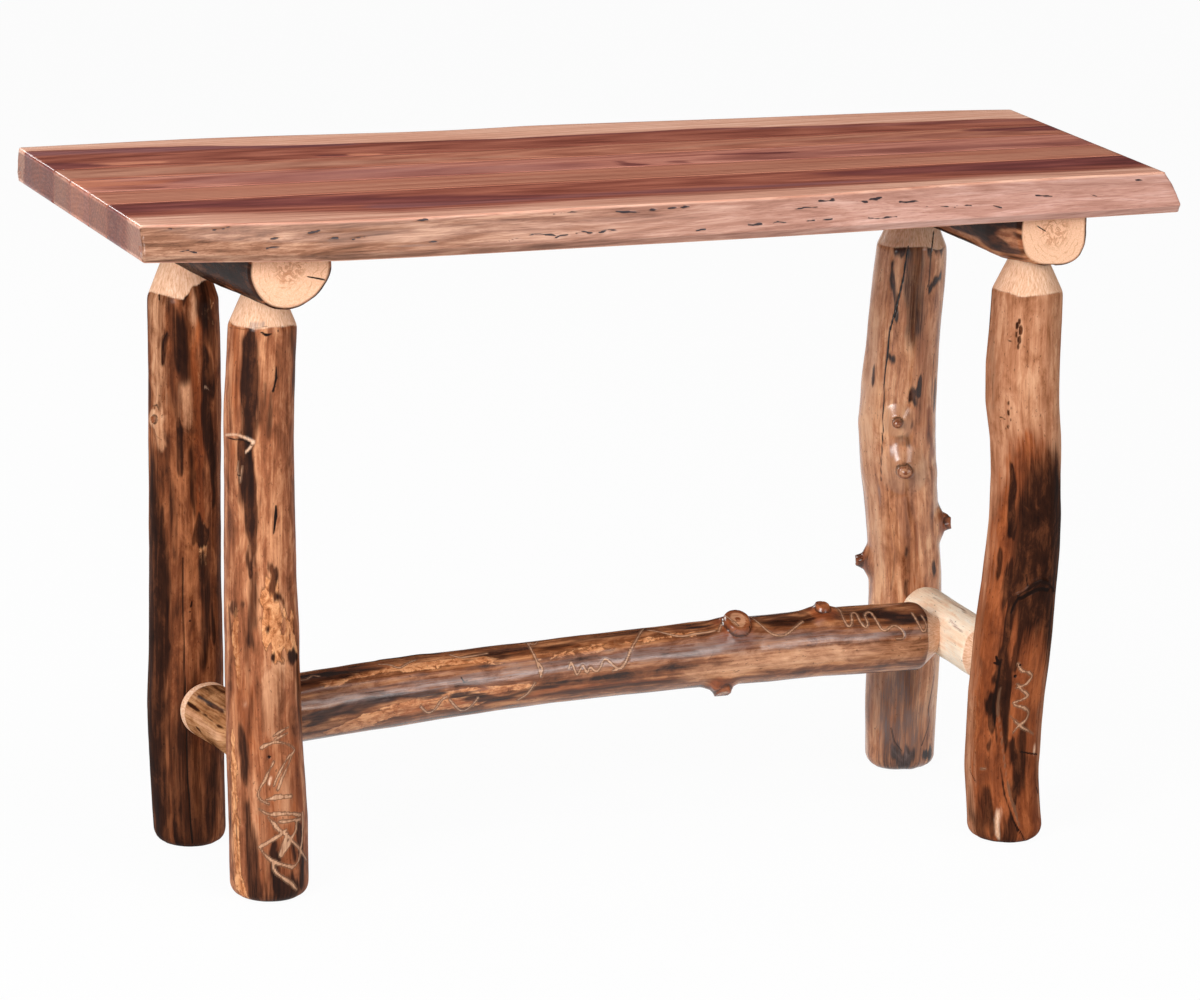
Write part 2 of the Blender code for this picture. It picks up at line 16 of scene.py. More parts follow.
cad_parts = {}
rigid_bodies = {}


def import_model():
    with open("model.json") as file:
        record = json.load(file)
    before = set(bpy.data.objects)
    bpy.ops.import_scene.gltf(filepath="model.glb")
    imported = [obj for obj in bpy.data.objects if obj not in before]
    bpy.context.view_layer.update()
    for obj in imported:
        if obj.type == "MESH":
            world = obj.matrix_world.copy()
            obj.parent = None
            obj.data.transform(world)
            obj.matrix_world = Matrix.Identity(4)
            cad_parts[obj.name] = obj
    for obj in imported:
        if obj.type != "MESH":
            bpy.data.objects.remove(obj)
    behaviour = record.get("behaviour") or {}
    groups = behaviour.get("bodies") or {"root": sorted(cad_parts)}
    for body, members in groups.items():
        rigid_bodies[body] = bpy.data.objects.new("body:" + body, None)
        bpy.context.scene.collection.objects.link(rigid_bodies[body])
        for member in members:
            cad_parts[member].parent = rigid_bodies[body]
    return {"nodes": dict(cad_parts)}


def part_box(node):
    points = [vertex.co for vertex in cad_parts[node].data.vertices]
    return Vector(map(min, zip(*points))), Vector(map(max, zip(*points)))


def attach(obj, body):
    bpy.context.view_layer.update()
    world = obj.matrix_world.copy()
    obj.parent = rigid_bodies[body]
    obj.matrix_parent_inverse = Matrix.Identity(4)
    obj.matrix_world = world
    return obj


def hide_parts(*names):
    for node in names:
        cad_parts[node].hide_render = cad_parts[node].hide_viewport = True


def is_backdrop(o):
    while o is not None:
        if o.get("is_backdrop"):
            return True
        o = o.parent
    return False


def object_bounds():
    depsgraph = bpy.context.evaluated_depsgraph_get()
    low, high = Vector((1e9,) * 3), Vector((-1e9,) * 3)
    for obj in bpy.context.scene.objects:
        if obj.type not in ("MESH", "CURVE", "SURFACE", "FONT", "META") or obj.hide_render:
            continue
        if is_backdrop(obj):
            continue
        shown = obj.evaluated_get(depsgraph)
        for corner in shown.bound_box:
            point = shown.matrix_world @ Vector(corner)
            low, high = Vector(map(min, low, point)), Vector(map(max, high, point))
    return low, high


for leftover in list(bpy.data.objects):
    bpy.data.objects.remove(leftover, do_unlink=True)
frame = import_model()
cad_low, cad_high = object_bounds()
print("solid pieces:", len(frame["nodes"]), "size:", [round(s, 3) for s in cad_high - cad_low])

# %% [markdown]
# ## The camera
# The photograph was taken from the left, a little above the top, through a long lens: the legs
# hardly converge. A camera can be placed by eye, but lines that are known to be level or upright pin
# it down better. These values were solved from the edges of the top and the four feet. The same
# numbers also give the line of sight through any spot of the picture, which is used later to put
# marks on the logs where they are seen.

# %% Camera at the photograph's place
PICTURE_WIDTH = 1200
PICTURE_HEIGHT = 1000
FOCAL_PIXELS = 6234.0
eye = Vector((-2.433, -6.282, 1.993))
yaw = math.radians(21.21)
pitch = math.radians(13.43)
roll = math.radians(1.46)

ahead = Vector((math.sin(yaw) * math.cos(pitch), math.cos(yaw) * math.cos(pitch), -math.sin(pitch)))
level = Vector((math.cos(yaw), -math.sin(yaw), 0.0))
above = level.cross(ahead)
right = level * math.cos(roll) + above * math.sin(roll)
upward = above * math.cos(roll) - level * math.sin(roll)

lens = bpy.data.cameras.new("camera")
lens.lens = FOCAL_PIXELS / PICTURE_WIDTH * lens.sensor_width
camera = bpy.data.objects.new("camera", lens)
bpy.context.scene.collection.objects.link(camera)
camera.matrix_world = Matrix((right, upward, -ahead)).transposed().to_4x4()
camera.location = eye
bpy.context.scene.camera = camera


def sight(column, row):
    """Direction of the line of sight through a spot of the picture."""
    aside = right * (column - PICTURE_WIDTH / 2) + upward * (PICTURE_HEIGHT / 2 - row)
    return (ahead * FOCAL_PIXELS + aside).normalized()


print("lens in mm:", round(lens.lens, 1))

# %% [markdown]
# ## The floor
# The table stands in a white studio. The floor is one wide sheet. To the camera it is almost white by
# itself, and a share of it is plain matt paint that still takes the table's soft shadow. More light
# would whiten a grey floor too, but it would bleach the wood. A finish is a chain of shader nodes, so
# one helper adds a node and another feeds it.

# %% Floor
FLOOR_HALF = 30.0
FLOOR_DROP = 0.0005
PAPER_GREY = 0.62
WHITE_SHARE = 0.96


def feed(tree, node, inputs):
    """Gives a shader node its inputs: numbers, colours, or the outputs of other nodes."""
    for socket, value in inputs.items():
        if isinstance(value, bpy.types.NodeSocket):
            tree.links.new(value, node.inputs[socket])
        else:
            node.inputs[socket].default_value = value


def step(tree, kind, inputs=None, **settings):
    """Adds a shader node with its settings and inputs."""
    node = tree.nodes.new("ShaderNode" + kind)
    for name, value in settings.items():
        setattr(node, name, value)
    feed(tree, node, inputs or {})
    return node


signs = [(-1, -1), (1, -1), (1, 1), (-1, 1)]
corners = [(x * FLOOR_HALF, y * FLOOR_HALF, -FLOOR_DROP) for x, y in signs]
floor_mesh = bpy.data.meshes.new("floor")
floor_mesh.from_pydata(corners, [], [(0, 1, 2, 3)])
floor = bpy.data.objects.new("floor", floor_mesh)
bpy.context.scene.collection.objects.link(floor)
floor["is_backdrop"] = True

paper = bpy.data.materials.new("studio_paper")
paper.use_nodes = True
tree = paper.node_tree
tree.nodes.clear()
matt = step(tree, "BsdfDiffuse", {"Color": (PAPER_GREY, PAPER_GREY, PAPER_GREY, 1.0)}).outputs[0]
white = step(tree, "Emission", {"Strength": 1.0}).outputs[0]
rays = step(tree, "LightPath").outputs
seen = rays["Is Camera Ray"]
for kind in ("Is Glossy Ray", "Is Transmission Ray"):
    seen = step(tree, "Math", {0: seen, 1: rays[kind]}, operation="MAXIMUM").outputs[0]
share = step(tree, "Math", {0: seen, 1: WHITE_SHARE}, operation="MULTIPLY").outputs[0]
both = step(tree, "MixShader", {0: share, 1: matt, 2: white}).outputs[0]
step(tree, "OutputMaterial", {"Surface": both})
floor_mesh.materials.append(paper)
print("floor:", 2 * FLOOR_HALF, "m wide")

# %% [markdown]
# ## Sky and lamps
# The sky is bright overhead and in front, and dim behind: a varnished top seen at a low angle mirrors
# what is behind it, and on the real table that was a dark part of the room. Four soft lamps do the rest.
# Small lamps would be simpler, but their shadows are hard.

# %% Sky and lamps
BRIGHT_SIDE = (-0.30, -0.75, 0.60)
DIM_SKY = 0.03
BRIGHT_SKY = 0.42
SKY_TURN = 0.75

bpy.context.scene.view_settings.view_transform = "Standard"
sky = bpy.data.worlds.new("studio_sky")
bpy.context.scene.world = sky
sky.use_nodes = True
tree = sky.node_tree
tree.nodes.clear()
direction = step(tree, "TexCoord").outputs["Generated"]
facing = step(tree, "VectorMath", {0: direction, 1: BRIGHT_SIDE}, operation="DOT_PRODUCT").outputs["Value"]
span = {"Value": facing, "From Min": -SKY_TURN, "From Max": SKY_TURN}
span |= {"To Min": DIM_SKY, "To Max": BRIGHT_SKY}
brightness = step(tree, "MapRange", span, interpolation_type="SMOOTHSTEP").outputs["Result"]
glow = step(tree, "Background", {"Strength": brightness}).outputs[0]
step(tree, "OutputWorld", {"Surface": glow})


def soft_lamp(name, place, target, width, height, power):
    light = bpy.data.lights.new(name, "AREA")
    light.shape = "RECTANGLE"
    light.size = width
    light.size_y = height
    light.energy = power
    lamp = bpy.data.objects.new(name, light)
    lamp.location = place
    lamp.rotation_mode = "QUATERNION"
    lamp.rotation_quaternion = (Vector(target) - Vector(place)).to_track_quat("-Z", "Y")
    bpy.context.scene.collection.objects.link(lamp)


soft_lamp("left_box", (-3.5, -3.0, 2.1), (0.0, 0.0, 0.4), 1.8, 1.6, 200.0)
soft_lamp("right_box", (1.7, -4.1, 1.9), (0.0, 0.0, 0.35), 2.6, 1.0, 62.0)
soft_lamp("overhead_box", (-0.2, -0.9, 3.2), (0.0, 0.0, 0.6), 2.4, 1.4, 45.0)
soft_lamp("rim_strip", (-1.5, 3.6, 2.2), (-0.5, 0.0, 0.76), 1.6, 0.5, 55.0)

# %% [markdown]
# ## Measuring a log
# Each log of the solid model has flat sides. A round skin needs its centre line and its thickness, so
# rays are shot inwards from all round at many places along the log, and a circle is fitted to where
# they land. Rays that fall into a mortise or land on a twig are far from the rest, and are left out.
# Every log is measured in its own directions: along it, and two across.

# %% Directions of a log
UPRIGHT = ((0, 0, 1), (1, 0, 0), (0, 1, 0))
LENGTHWAYS = ((1, 0, 0), (0, 1, 0), (0, 0, 1))


def crosswise(node):
    """Directions of a level log that runs from front to back, square to its sawn ends."""
    faces = frame["nodes"][node].data.polygons
    ends = [f.normal * f.area for f in faces if abs(f.normal.y) > 0.9 and abs(f.normal.z) < 0.05]
    along = sum((e if e.y > 0 else -e for e in ends), Vector((0.0, 0.0, 0.0))).normalized()
    return (along, (0, 0, 1), along.cross(Vector((0, 0, 1))))


def solid_tree(node, ways=LENGTHWAYS):
    """A solid for rays to land on, turned to a log's own directions, and its corners."""
    mesh = frame["nodes"][node].data
    corners = np.array([v.co for v in mesh.vertices]) @ np.array(ways, dtype=float).T
    return BVHTree.FromPolygons(corners.tolist(), [tuple(p.vertices) for p in mesh.polygons]), corners


print("the left bolster runs along", [round(v, 3) for v in crosswise("bolster_left")[0]])

# %% [markdown]
# The best circle through many points could be searched for, but least squares gives it at once. The
# fitting starts at the middle of the log and walks towards both ends. Each place starts from the centre
# of the one before, so it follows a bent log.

# %% Fit circles along a log
RAYS = 40
RAY_LENGTH = 0.2
FEWEST_HITS = 8
STRAY_SHARE = 0.12
ROUNDING = 1.006


def fit_circle(points):
    """Centre and radius of the circle that lies nearest to some points."""
    rows = np.column_stack((2 * points, np.ones(len(points))))
    answer = np.linalg.lstsq(rows, (points**2).sum(axis=1), rcond=None)[0]
    centre = answer[:2]
    return centre, math.sqrt(answer[2] + centre @ centre)


def ring_hits(tree, place, centre, turns):
    """Where rays from all round land on the log, at one place along it."""
    hits = []
    for turn in turns:
        outward = Vector((0.0, math.cos(turn), math.sin(turn)))
        start = outward * RAY_LENGTH + Vector((place, centre[0], centre[1]))
        hit = tree.ray_cast(start, -outward, RAY_LENGTH)[0]
        if hit is not None:
            hits.append((hit[1], hit[2]))
    return np.array(hits)


def measure_log(tree, corners, places, under_only):
    """Centre and radius of a log at places along it, found from its middle towards both ends."""
    middle = len(places) // 2
    near = corners[np.abs(corners[:, 0] - places[middle]) < 0.1]
    centre = (near[:, 1:].min(axis=0) + near[:, 1:].max(axis=0)) / 2
    turns = [2 * math.pi * k / RAYS for k in range(RAYS)]
    if under_only:
        turns = [t for t in turns if math.cos(t) < 0.1]
    fits = {}
    for order in (range(middle, len(places)), range(middle, -1, -1)):
        guess = centre
        for k in order:
            for _ in range(3):
                hits = ring_hits(tree, places[k], guess, turns)
                if len(hits) < FEWEST_HITS:
                    break
                spans = np.linalg.norm(hits - guess, axis=1)
                usual = np.median(spans)
                guess, radius = fit_circle(hits[np.abs(spans - usual) < STRAY_SHARE * usual])
                fits[k] = (*guess, radius)
    found = sorted(fits)
    values = np.array([fits[k] for k in found])
    full = np.column_stack([np.interp(np.arange(len(places)), found, values[:, c]) for c in range(3)])
    return full[:, :2], full[:, 2] * ROUNDING


radii = measure_log(*solid_tree("leg_front_left", UPRIGHT), (0.25, 0.35, 0.45), False)[1]
print("radii up the front left leg:", radii.round(4))

# %% [markdown]
# ## Random, but smooth
# Bark, stains and dents need fields that wander. White noise is blurred, more along the log than
# round it. The blur is done with a Fourier transform, because that makes the field meet itself on the
# far side of the log.

# %% Wandering fields


def blur_line(values, spread):
    """A line of numbers, smoothed over some neighbours."""
    reach = int(spread * 3) + 1
    weights = np.exp(-0.5 * (np.arange(-reach, reach + 1) / spread) ** 2)
    padded = np.pad(values, reach, mode="edge")
    return np.convolve(padded, weights / weights.sum(), mode="valid")


def wander(shape, spread, seed):
    """A smooth random field with mean 0 and spread 1 that joins up at its borders."""
    noise = np.random.default_rng(seed).standard_normal(shape)
    rows = np.fft.fftfreq(shape[0])[:, None] * spread[0]
    columns = np.fft.rfftfreq(shape[1])[None, :] * spread[1]
    soft = np.exp(-2 * math.pi**2 * (rows**2 + columns**2))
    field = np.fft.irfft2(np.fft.rfft2(noise) * soft, s=shape)
    return (field - field.mean()) / field.std()


def ease(values, low, high):
    """0 below low, 1 above high, and a smooth rise between."""
    t = np.clip((values - low) / (high - low), 0.0, 1.0)
    return t * t * (3.0 - 2.0 * t)


def trail_gap(u, v, trail):
    """Distance of points u, v from a trail of u, v and half width, negative inside it."""
    spots = trail * 2 if len(trail) == 1 else trail
    nearest = np.full(u.shape, 1.0)
    for (au, av, aw), (bu, bv, bw) in zip(spots, spots[1:]):
        du, dv = bu - au, bv - av
        span = max(du * du + dv * dv, 1e-12)
        share = np.clip(((u - au) * du + (v - av) * dv) / span, 0.0, 1.0)
        gap = np.hypot(u - au - share * du, v - av - share * dv) - (aw + share * (bw - aw))
        np.minimum(nearest, gap, out=nearest)
    return nearest


def rounded(trail):
    """The trail with its corners cut twice, so that it runs in curves."""
    spots = np.array(trail)
    for _ in range(2):
        near = spots[:-1] * 0.75 + spots[1:] * 0.25
        far = spots[:-1] * 0.25 + spots[1:] * 0.75
        inner = np.stack((near, far), axis=1).reshape(-1, 3)
        spots = np.vstack((spots[:1], inner, spots[-1:]))
    return spots.tolist()


print("corners of a rounded trail:", len(rounded([(0, 0, 1), (1, 0, 1), (1, 1, 1)])))

# %% [markdown]
# ## A log's skin
# The skin is a grid: rows along the log, columns round it. Every grid point keeps a height, for dents
# and knots, and a set of layers between 0 and 1 that say how much bark, bare pale wood, crack and so
# on there is. The material reads these layers later. A cylinder with modifiers could be dented as well,
# but its points wouldn't know their place on the log.

# %% Log skins
# Some marks in these layers are painted light: the stain layer carries a painted sheen and painted shade,
# and a few pale, tan, track and crack marks are painted highlights and shadows.
LAYERS = ("bark", "pale", "tan", "golden", "stain", "crack", "track", "ruddy", "end")
SKIN_STEP = 0.0015
MEASURED_PLACES = 260
CENTRE_BLUR = 0.004


def wrap(turn):
    return (turn + math.pi) % (2 * math.pi) - math.pi


class Log:
    """A skin over one solid log."""

    def __init__(self, node, ways, columns, seed, under_only=False):
        self.node = node
        self.seed = seed
        self.ways = np.array(ways, dtype=float)
        tree, corners = solid_tree(node, ways)
        low, high = corners[:, 0].min(), corners[:, 0].max()
        places = np.linspace(low + 0.0002, high - 0.0002, MEASURED_PLACES)
        centres, radii = measure_log(tree, corners, places, under_only)
        self.rows = np.linspace(low, high, int((high - low) / SKIN_STEP))
        self.turns = np.arange(columns) * (2 * math.pi / columns)
        spread = CENTRE_BLUR / (places[1] - places[0])
        smooth = [blur_line(centres[:, k], spread) for k in (0, 1)]
        self.centre = np.column_stack([np.interp(self.rows, places, line) for line in smooth])
        self.radius = np.interp(self.rows, places, blur_line(radii, 0.6))
        self.shape = (len(self.rows), columns)
        self.typical = float(np.median(self.radius))
        self.layers = {name: np.zeros(self.shape) for name in LAYERS}
        self.height = np.zeros(self.shape)
        self.eye = Vector(self.ways @ np.array(eye))
        aside, up = (self.eye[k + 1] - self.centre[:, k].mean() for k in (0, 1))
        facing = np.cos(self.turns - math.atan2(up, aside))[None, :] * np.ones((self.shape[0], 1))
        self.far = ease(-facing, -0.30, 0.25)
        self.fray = 0.7 * self.wander(22, 2.2, 90) + 0.5 * self.wander(6, 1.2, 91)

    def wander(self, along_mm, round_mm, number):
        down = along_mm / 1000 / (self.rows[1] - self.rows[0])
        aside = round_mm / 1000 / (self.typical * (self.turns[1] - self.turns[0]))
        return wander(self.shape, (down, aside), self.seed * 100 + number)

    def find(self, column, row):
        """Turn and place on the log that are seen at a spot of the picture."""
        direction = self.ways @ np.array(sight(column, row))
        start = np.array(self.eye)
        place = self.rows[len(self.rows) // 2]
        for _ in range(12):
            centre = np.array([np.interp(place, self.rows, self.centre[:, k]) for k in (0, 1)])
            radius = np.interp(place, self.rows, self.radius)
            away, toward = start[1:] - centre, direction[1:]
            half = -(away @ toward) / (toward @ toward)
            inside = radius**2 - ((away + half * toward) ** 2).sum()
            travel = half - math.sqrt(max(inside, 0.0) / (toward @ toward))
            place = float(np.clip(start[0] + travel * direction[0], self.rows[0], self.rows[-1]))
        hit = away + travel * toward
        return math.atan2(hit[1], hit[0]), place

    def gap(self, spots, curve=False, squash=1.0):
        """Distance of every grid point from a trail of turn, place and half width in millimetres."""
        base = spots[0][0]
        trail = [(wrap(t - base) * self.typical, place * squash, half / 1000) for t, place, half in spots]
        sideways = wrap(self.turns - base)[None, :] * self.radius[:, None]
        along = np.repeat(self.rows[:, None], self.shape[1], axis=1) * squash
        return trail_gap(sideways, along, rounded(trail) if curve else trail)

    def points(self):
        """Grid points in metres."""
        reach = self.radius[:, None] + self.height
        local = np.stack((
            np.repeat(self.rows[:, None], self.shape[1], axis=1),
            self.centre[:, :1] + reach * np.cos(self.turns),
            self.centre[:, 1:] + reach * np.sin(self.turns),
        ), axis=-1)
        return local @ self.ways


print("layers of a log:", ", ".join(LAYERS))

# %% [markdown]
# ## Marks on a log
# A mark could be painted by hand on a flat picture of the log, but then it would be fixed to that
# picture. Here it is a trail of spots, each with a half width in millimetres. The spots are given where
# the eye sees them in the photograph, and the line of sight finds the place on the log. A mark fills
# one layer, and a depth digs it in or, below zero, raises it. Bark and stains are drawn out along the
# fibres; cracks and tracks are not.

# %% Trails of spots
STAINS = ("bark", "pale", "tan", "golden", "stain", "ruddy")
STAIN_SQUASH = 0.45
STAIN_BLUR = 2.2


def lay(skin, layer, values):
    """Fills a layer of a log or board wherever the new values are stronger."""
    np.maximum(skin.layers[layer], values, out=skin.layers[layer])


def trace(log, layer, spots, strength=1.0, soft=1.5, fray=0.0, depth=0.0, curve=False):
    """One mark through spots of turn, place and half width. Lengths are in millimetres."""
    stain = layer in STAINS
    gap = log.gap(spots, curve, STAIN_SQUASH if stain else 1.0) + fray / 1000 * log.fray
    blur = soft / 1000 * (STAIN_BLUR if stain else 1.0)
    cover = 1.0 - ease(gap, -0.6 * blur, 0.9 * blur)
    if layer.startswith("erase "):
        log.layers[layer.removeprefix("erase ")] *= 1.0 - strength * cover
    else:
        lay(log, layer, cover * strength)
    log.height -= depth / 1000 * cover


def mark_all(log, marks):
    """Marks as layer, strength, softness, fray and spots, then where needed depth and curve."""
    for layer, strength, soft, fray, spots, *relief in marks:
        found = [(*log.find(column, row), half) for column, row, half in spots]
        trace(log, layer, found, strength, soft, fray, *relief)


print("layers drawn out along the fibres:", ", ".join(STAINS))

# %% [markdown]
# ## Knots and twig stubs
# Where a branch grew, the log swells and ends in a sawn, ringed face. A separate peg would show a
# seam, so the skin itself is lifted: a cone or a soft swelling, a flat face on it, two grooves round
# that and darker rings inside.

# %% Knots
GROOVES = ((1.2, 0.0014), (0.5, 0.0007))
DARK_RINGS = (0.12, 0.72)


def knob(log, turn, place, root, tip, out, skirt, face, cone=False):
    """A knot or twig stub. Root and tip are its radii, out its height; skirt and face are layers."""
    gap = log.gap([(turn, place, 0.0)])
    ragged = gap * (1.0 + 0.12 * log.wander(4, 4, 60))
    if cone:
        foot = 1.4 * tip
        swelling = np.clip(1.0 - gap / (1.6 * root), 0.0, 1.0) ** 1.25
    else:
        foot = max(1.5 * tip, 0.8 * root)
        swelling = 1.0 - ease(gap, 0.8 * tip, 2.0 * root)
    log.height += 0.5 * out * (1.0 - ease(ragged, 0.9 * tip, foot) + swelling)
    log.height += (1.0 - ease(gap, tip, 1.2 * tip)) * gap**2 / (2 * log.typical)
    for layer in ("bark", "ruddy", "golden"):
        log.layers[layer] *= ease(gap, root, 1.4 * root)
    for share, deep in GROOVES:
        groove = 1.0 - ease(np.abs(gap - share * tip), 0.0004, 0.0018)
        log.height -= deep * groove
        lay(log, "crack", 420 * deep * groove)
    lay(log, face, 0.8 - 0.8 * ease(gap, 0.6 * tip, 0.8 * tip))
    for share in DARK_RINGS:
        lay(log, "ruddy", 0.9 - 0.9 * ease(np.abs(ragged - share * tip), 0.0005, 0.0016))
    rim = ease(gap, 0.7 * tip, 0.9 * tip) * (1.0 - ease(ragged, 0.9 * root, 1.7 * root))
    lay(log, skirt, 0.85 * rim)


print("grooves round a knot, in mm:", [round(1000 * deep, 1) for _, deep in GROOVES])

# %% [markdown]
# ## From grid to mesh
# The mesh has four-sided faces between neighbouring rows, and keeps the layers at its points. It could
# be built face by face with bmesh, but whole arrays are quicker for so many points. A flat map of the
# surface, like unrolled bark, is there for baking colours.

# %% From grid to mesh


def grid_mesh(name, points, layers, vectors):
    """A mesh over a grid of rows and columns, with the columns joined round."""
    count, columns = points.shape[:2]
    index = np.arange(count * columns).reshape(count, columns)
    after = np.roll(index, -1, axis=1)
    quads = np.stack((index[:-1], after[:-1], after[1:], index[1:]), axis=-1)
    mesh = bpy.data.meshes.new(name)
    mesh.from_pydata(points.reshape(-1, 3), [], quads.reshape(-1, 4))
    for layer, values in layers.items():
        attribute = mesh.attributes.new(layer, "FLOAT", "POINT")
        attribute.data.foreach_set("value", values.astype(np.float32).ravel())
    for vector, values in vectors.items():
        attribute = mesh.attributes.new(vector, "FLOAT_VECTOR", "POINT")
        attribute.data.foreach_set("vector", values.astype(np.float32).ravel())
    across = np.repeat(np.arange(columns)[None, :] / columns, count - 1, axis=0)
    down = np.repeat(np.arange(count - 1)[:, None] / (count - 1), columns, axis=1)
    corner_u = np.stack((across, across + 1 / columns, across + 1 / columns, across), axis=-1)
    corner_v = np.stack((down, down, down + 1 / (count - 1), down + 1 / (count - 1)), axis=-1)
    flat = np.stack((corner_u, corner_v), axis=-1)
    mesh.uv_layers.new(name="OFBake").data.foreach_set("uv", flat.astype(np.float32).ravel())
    mesh.shade_smooth()
    return mesh


def put_in_place(name, mesh, material, slot, *nodes):
    """Makes the piece, and hides its solid nodes."""
    piece = bpy.data.objects.new(name, mesh)
    bpy.context.scene.collection.objects.link(piece)
    mesh.materials.append(material)
    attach(piece, "root")
    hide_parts(*nodes)
    print(name, "points:", len(mesh.vertices))


# %% [markdown]
# A log ends in a sawn face. One many-sided face would close it, but it has no points inside to carry a
# crack, so rings of points shrink to the middle. A log that is planed on top is pressed flat there.

# %% Close the ends of a log
CAP_RINGS = 14
LOG_GRAIN_SHIFT = 0.37


def with_cap(grid, cap, first):
    """A grid with the rings of a cap before its first row or after its last."""
    return np.concatenate((cap[::-1], grid) if first else (grid, cap))


def skin_log(log, material, top_limit=None, end_cracks=()):
    """The finished skin of a log, with both ends closed."""
    points = log.points()
    if top_limit is not None:
        points[..., 2] = np.minimum(points[..., 2], top_limit)
    layers = dict(log.layers)
    grain = np.zeros((*log.shape, 3))
    grain[..., 0] = log.typical * np.cos(log.turns)
    grain[..., 1] = log.typical * np.sin(log.turns)
    grain[..., 2] = log.rows[:, None] + log.seed * LOG_GRAIN_SHIFT
    shares = np.linspace(1.0, 0.0, CAP_RINGS + 1)[1:]
    for end in (0, -1):
        rim = points[end].copy()
        middle = rim.mean(axis=0)
        rings = np.array([middle + (rim - middle) * k for k in shares])
        local = rings @ log.ways.T
        cap_grain = np.zeros(rings.shape)
        cap_grain[..., 0] = local[..., 1] - log.centre[end, 0]
        cap_grain[..., 1] = local[..., 2] - log.centre[end, 1]
        cap_grain[..., 2] = grain[end, 0, 2]
        caps = {name: np.zeros(rings.shape[:2]) for name in LAYERS}
        caps["end"][:] = 1.0
        for turn, inner, outer, width in end_cracks:
            aside = np.abs(wrap(log.turns - turn))[None, :] * shares[:, None] * log.typical
            reach = (shares > inner) & (shares < outer)
            line = (1.0 - ease(aside, width / 3000, width / 1000)) * reach[:, None]
            np.maximum(caps["crack"], line, out=caps["crack"])
        points = with_cap(points, rings, end == 0)
        grain = with_cap(grain, cap_grain, end == 0)
        for name in LAYERS:
            layers[name] = with_cap(layers[name], caps[name], end == 0)
    mesh = grid_mesh(log.node + "_skin", points, layers, {"grain": grain})
    put_in_place(log.node + "_skin", mesh, material, "peeled_logs", log.node)


# %% [markdown]
# ## Writing materials down
# A material is a chain of small steps: read a layer, stretch some noise, mix two colours. A helper for
# each step keeps the recipes short. Colours are written as they look on a screen, from 0 to 255, and
# turned into the linear values that Blender works in.

# %% Screen colours


def paint(red, green, blue):
    """A screen colour as Blender's linear colour."""
    linear = []
    for value in (red, green, blue):
        share = value / 255
        linear.append(share / 12.92 if share <= 0.04045 else ((share + 0.055) / 1.055) ** 2.4)
    return (*linear, 1.0)


print("a screen grey of 128 in linear light:", round(paint(128, 128, 128)[0], 3))

# %% [markdown]
# A material could also be wired by hand in the Shader Editor. As code, each step is a method that adds
# a node, feeds it and gives its output, so a recipe reads from top to bottom.

# %% Material recipes


class Recipe:
    """A material that is built step by step. Each step gives a socket for the next one."""

    def __init__(self, name):
        self.material = bpy.data.materials.new(name)
        self.material.use_nodes = True
        self.tree = self.material.node_tree
        self.shader = self.tree.nodes["Principled BSDF"]

    def stored(self, name, output="Fac"):
        return step(self.tree, "Attribute", attribute_name=name).outputs[output]

    def stretch(self, vector, by):
        return step(self.tree, "VectorMath", {0: vector, 1: by}, operation="MULTIPLY").outputs["Vector"]

    def length(self, vector):
        return step(self.tree, "VectorMath", {0: vector}, operation="LENGTH").outputs["Value"]

    def noise(self, vector, by, detail=4.0, roughness=0.55, twist=0.0):
        inputs = {"Vector": self.stretch(vector, by), "Scale": 1.0}
        inputs |= {"Detail": detail, "Roughness": roughness, "Distortion": twist}
        return step(self.tree, "TexNoise", inputs).outputs["Fac"]

    def sums(self, operation, first, second):
        return step(self.tree, "Math", {0: first, 1: second}, operation=operation).outputs[0]

    def plus(self, first, second):
        return self.sums("ADD", first, second)

    def minus(self, first, second):
        return self.sums("SUBTRACT", first, second)

    def times(self, first, second):
        return self.sums("MULTIPLY", first, second)

    def total(self, *parts):
        """The sum of some values, each times its share."""
        whole, *others = (self.times(value, share) for value, share in parts)
        for other in others:
            whole = self.plus(whole, other)
        return whole

    def rise(self, value, low, high, bottom=0.0, top=1.0):
        inputs = {"Value": value, "From Min": low, "From Max": high, "To Min": bottom, "To Max": top}
        return step(self.tree, "MapRange", inputs, interpolation_type="SMOOTHSTEP").outputs["Result"]

    def ramp(self, value, *stops):
        """A colour that changes with a value. A stop is a value and the screen colour there."""
        node = step(self.tree, "ValToRGB", {"Fac": value})
        colours = node.color_ramp.elements
        while len(colours) < len(stops):
            colours.new(0.5)
        for element, (place, *colour) in zip(colours, stops):
            element.position = place
            element.color = paint(*colour)
        return node.outputs["Color"]

    def blend(self, share, first, second, way="MIX"):
        inputs = {"Factor": share, 6: first, 7: second}
        return step(self.tree, "Mix", inputs, data_type="RGBA", blend_type=way).outputs[2]

    def bump(self, height, strength, distance):
        node = step(self.tree, "Bump", {"Height": height, "Strength": strength, "Distance": distance})
        feed(self.tree, self.shader, {"Normal": node.outputs["Normal"]})

    def finish(self, colour, roughness, coat=0.0, coat_roughness=0.2, metallic=0.0, specular=0.5):
        inputs = {"Base Color": colour, "Roughness": roughness, "Metallic": metallic}
        inputs |= {"Coat Weight": coat, "Coat Roughness": coat_roughness, "Specular IOR Level": specular}
        feed(self.tree, self.shader, inputs)
        return self.material
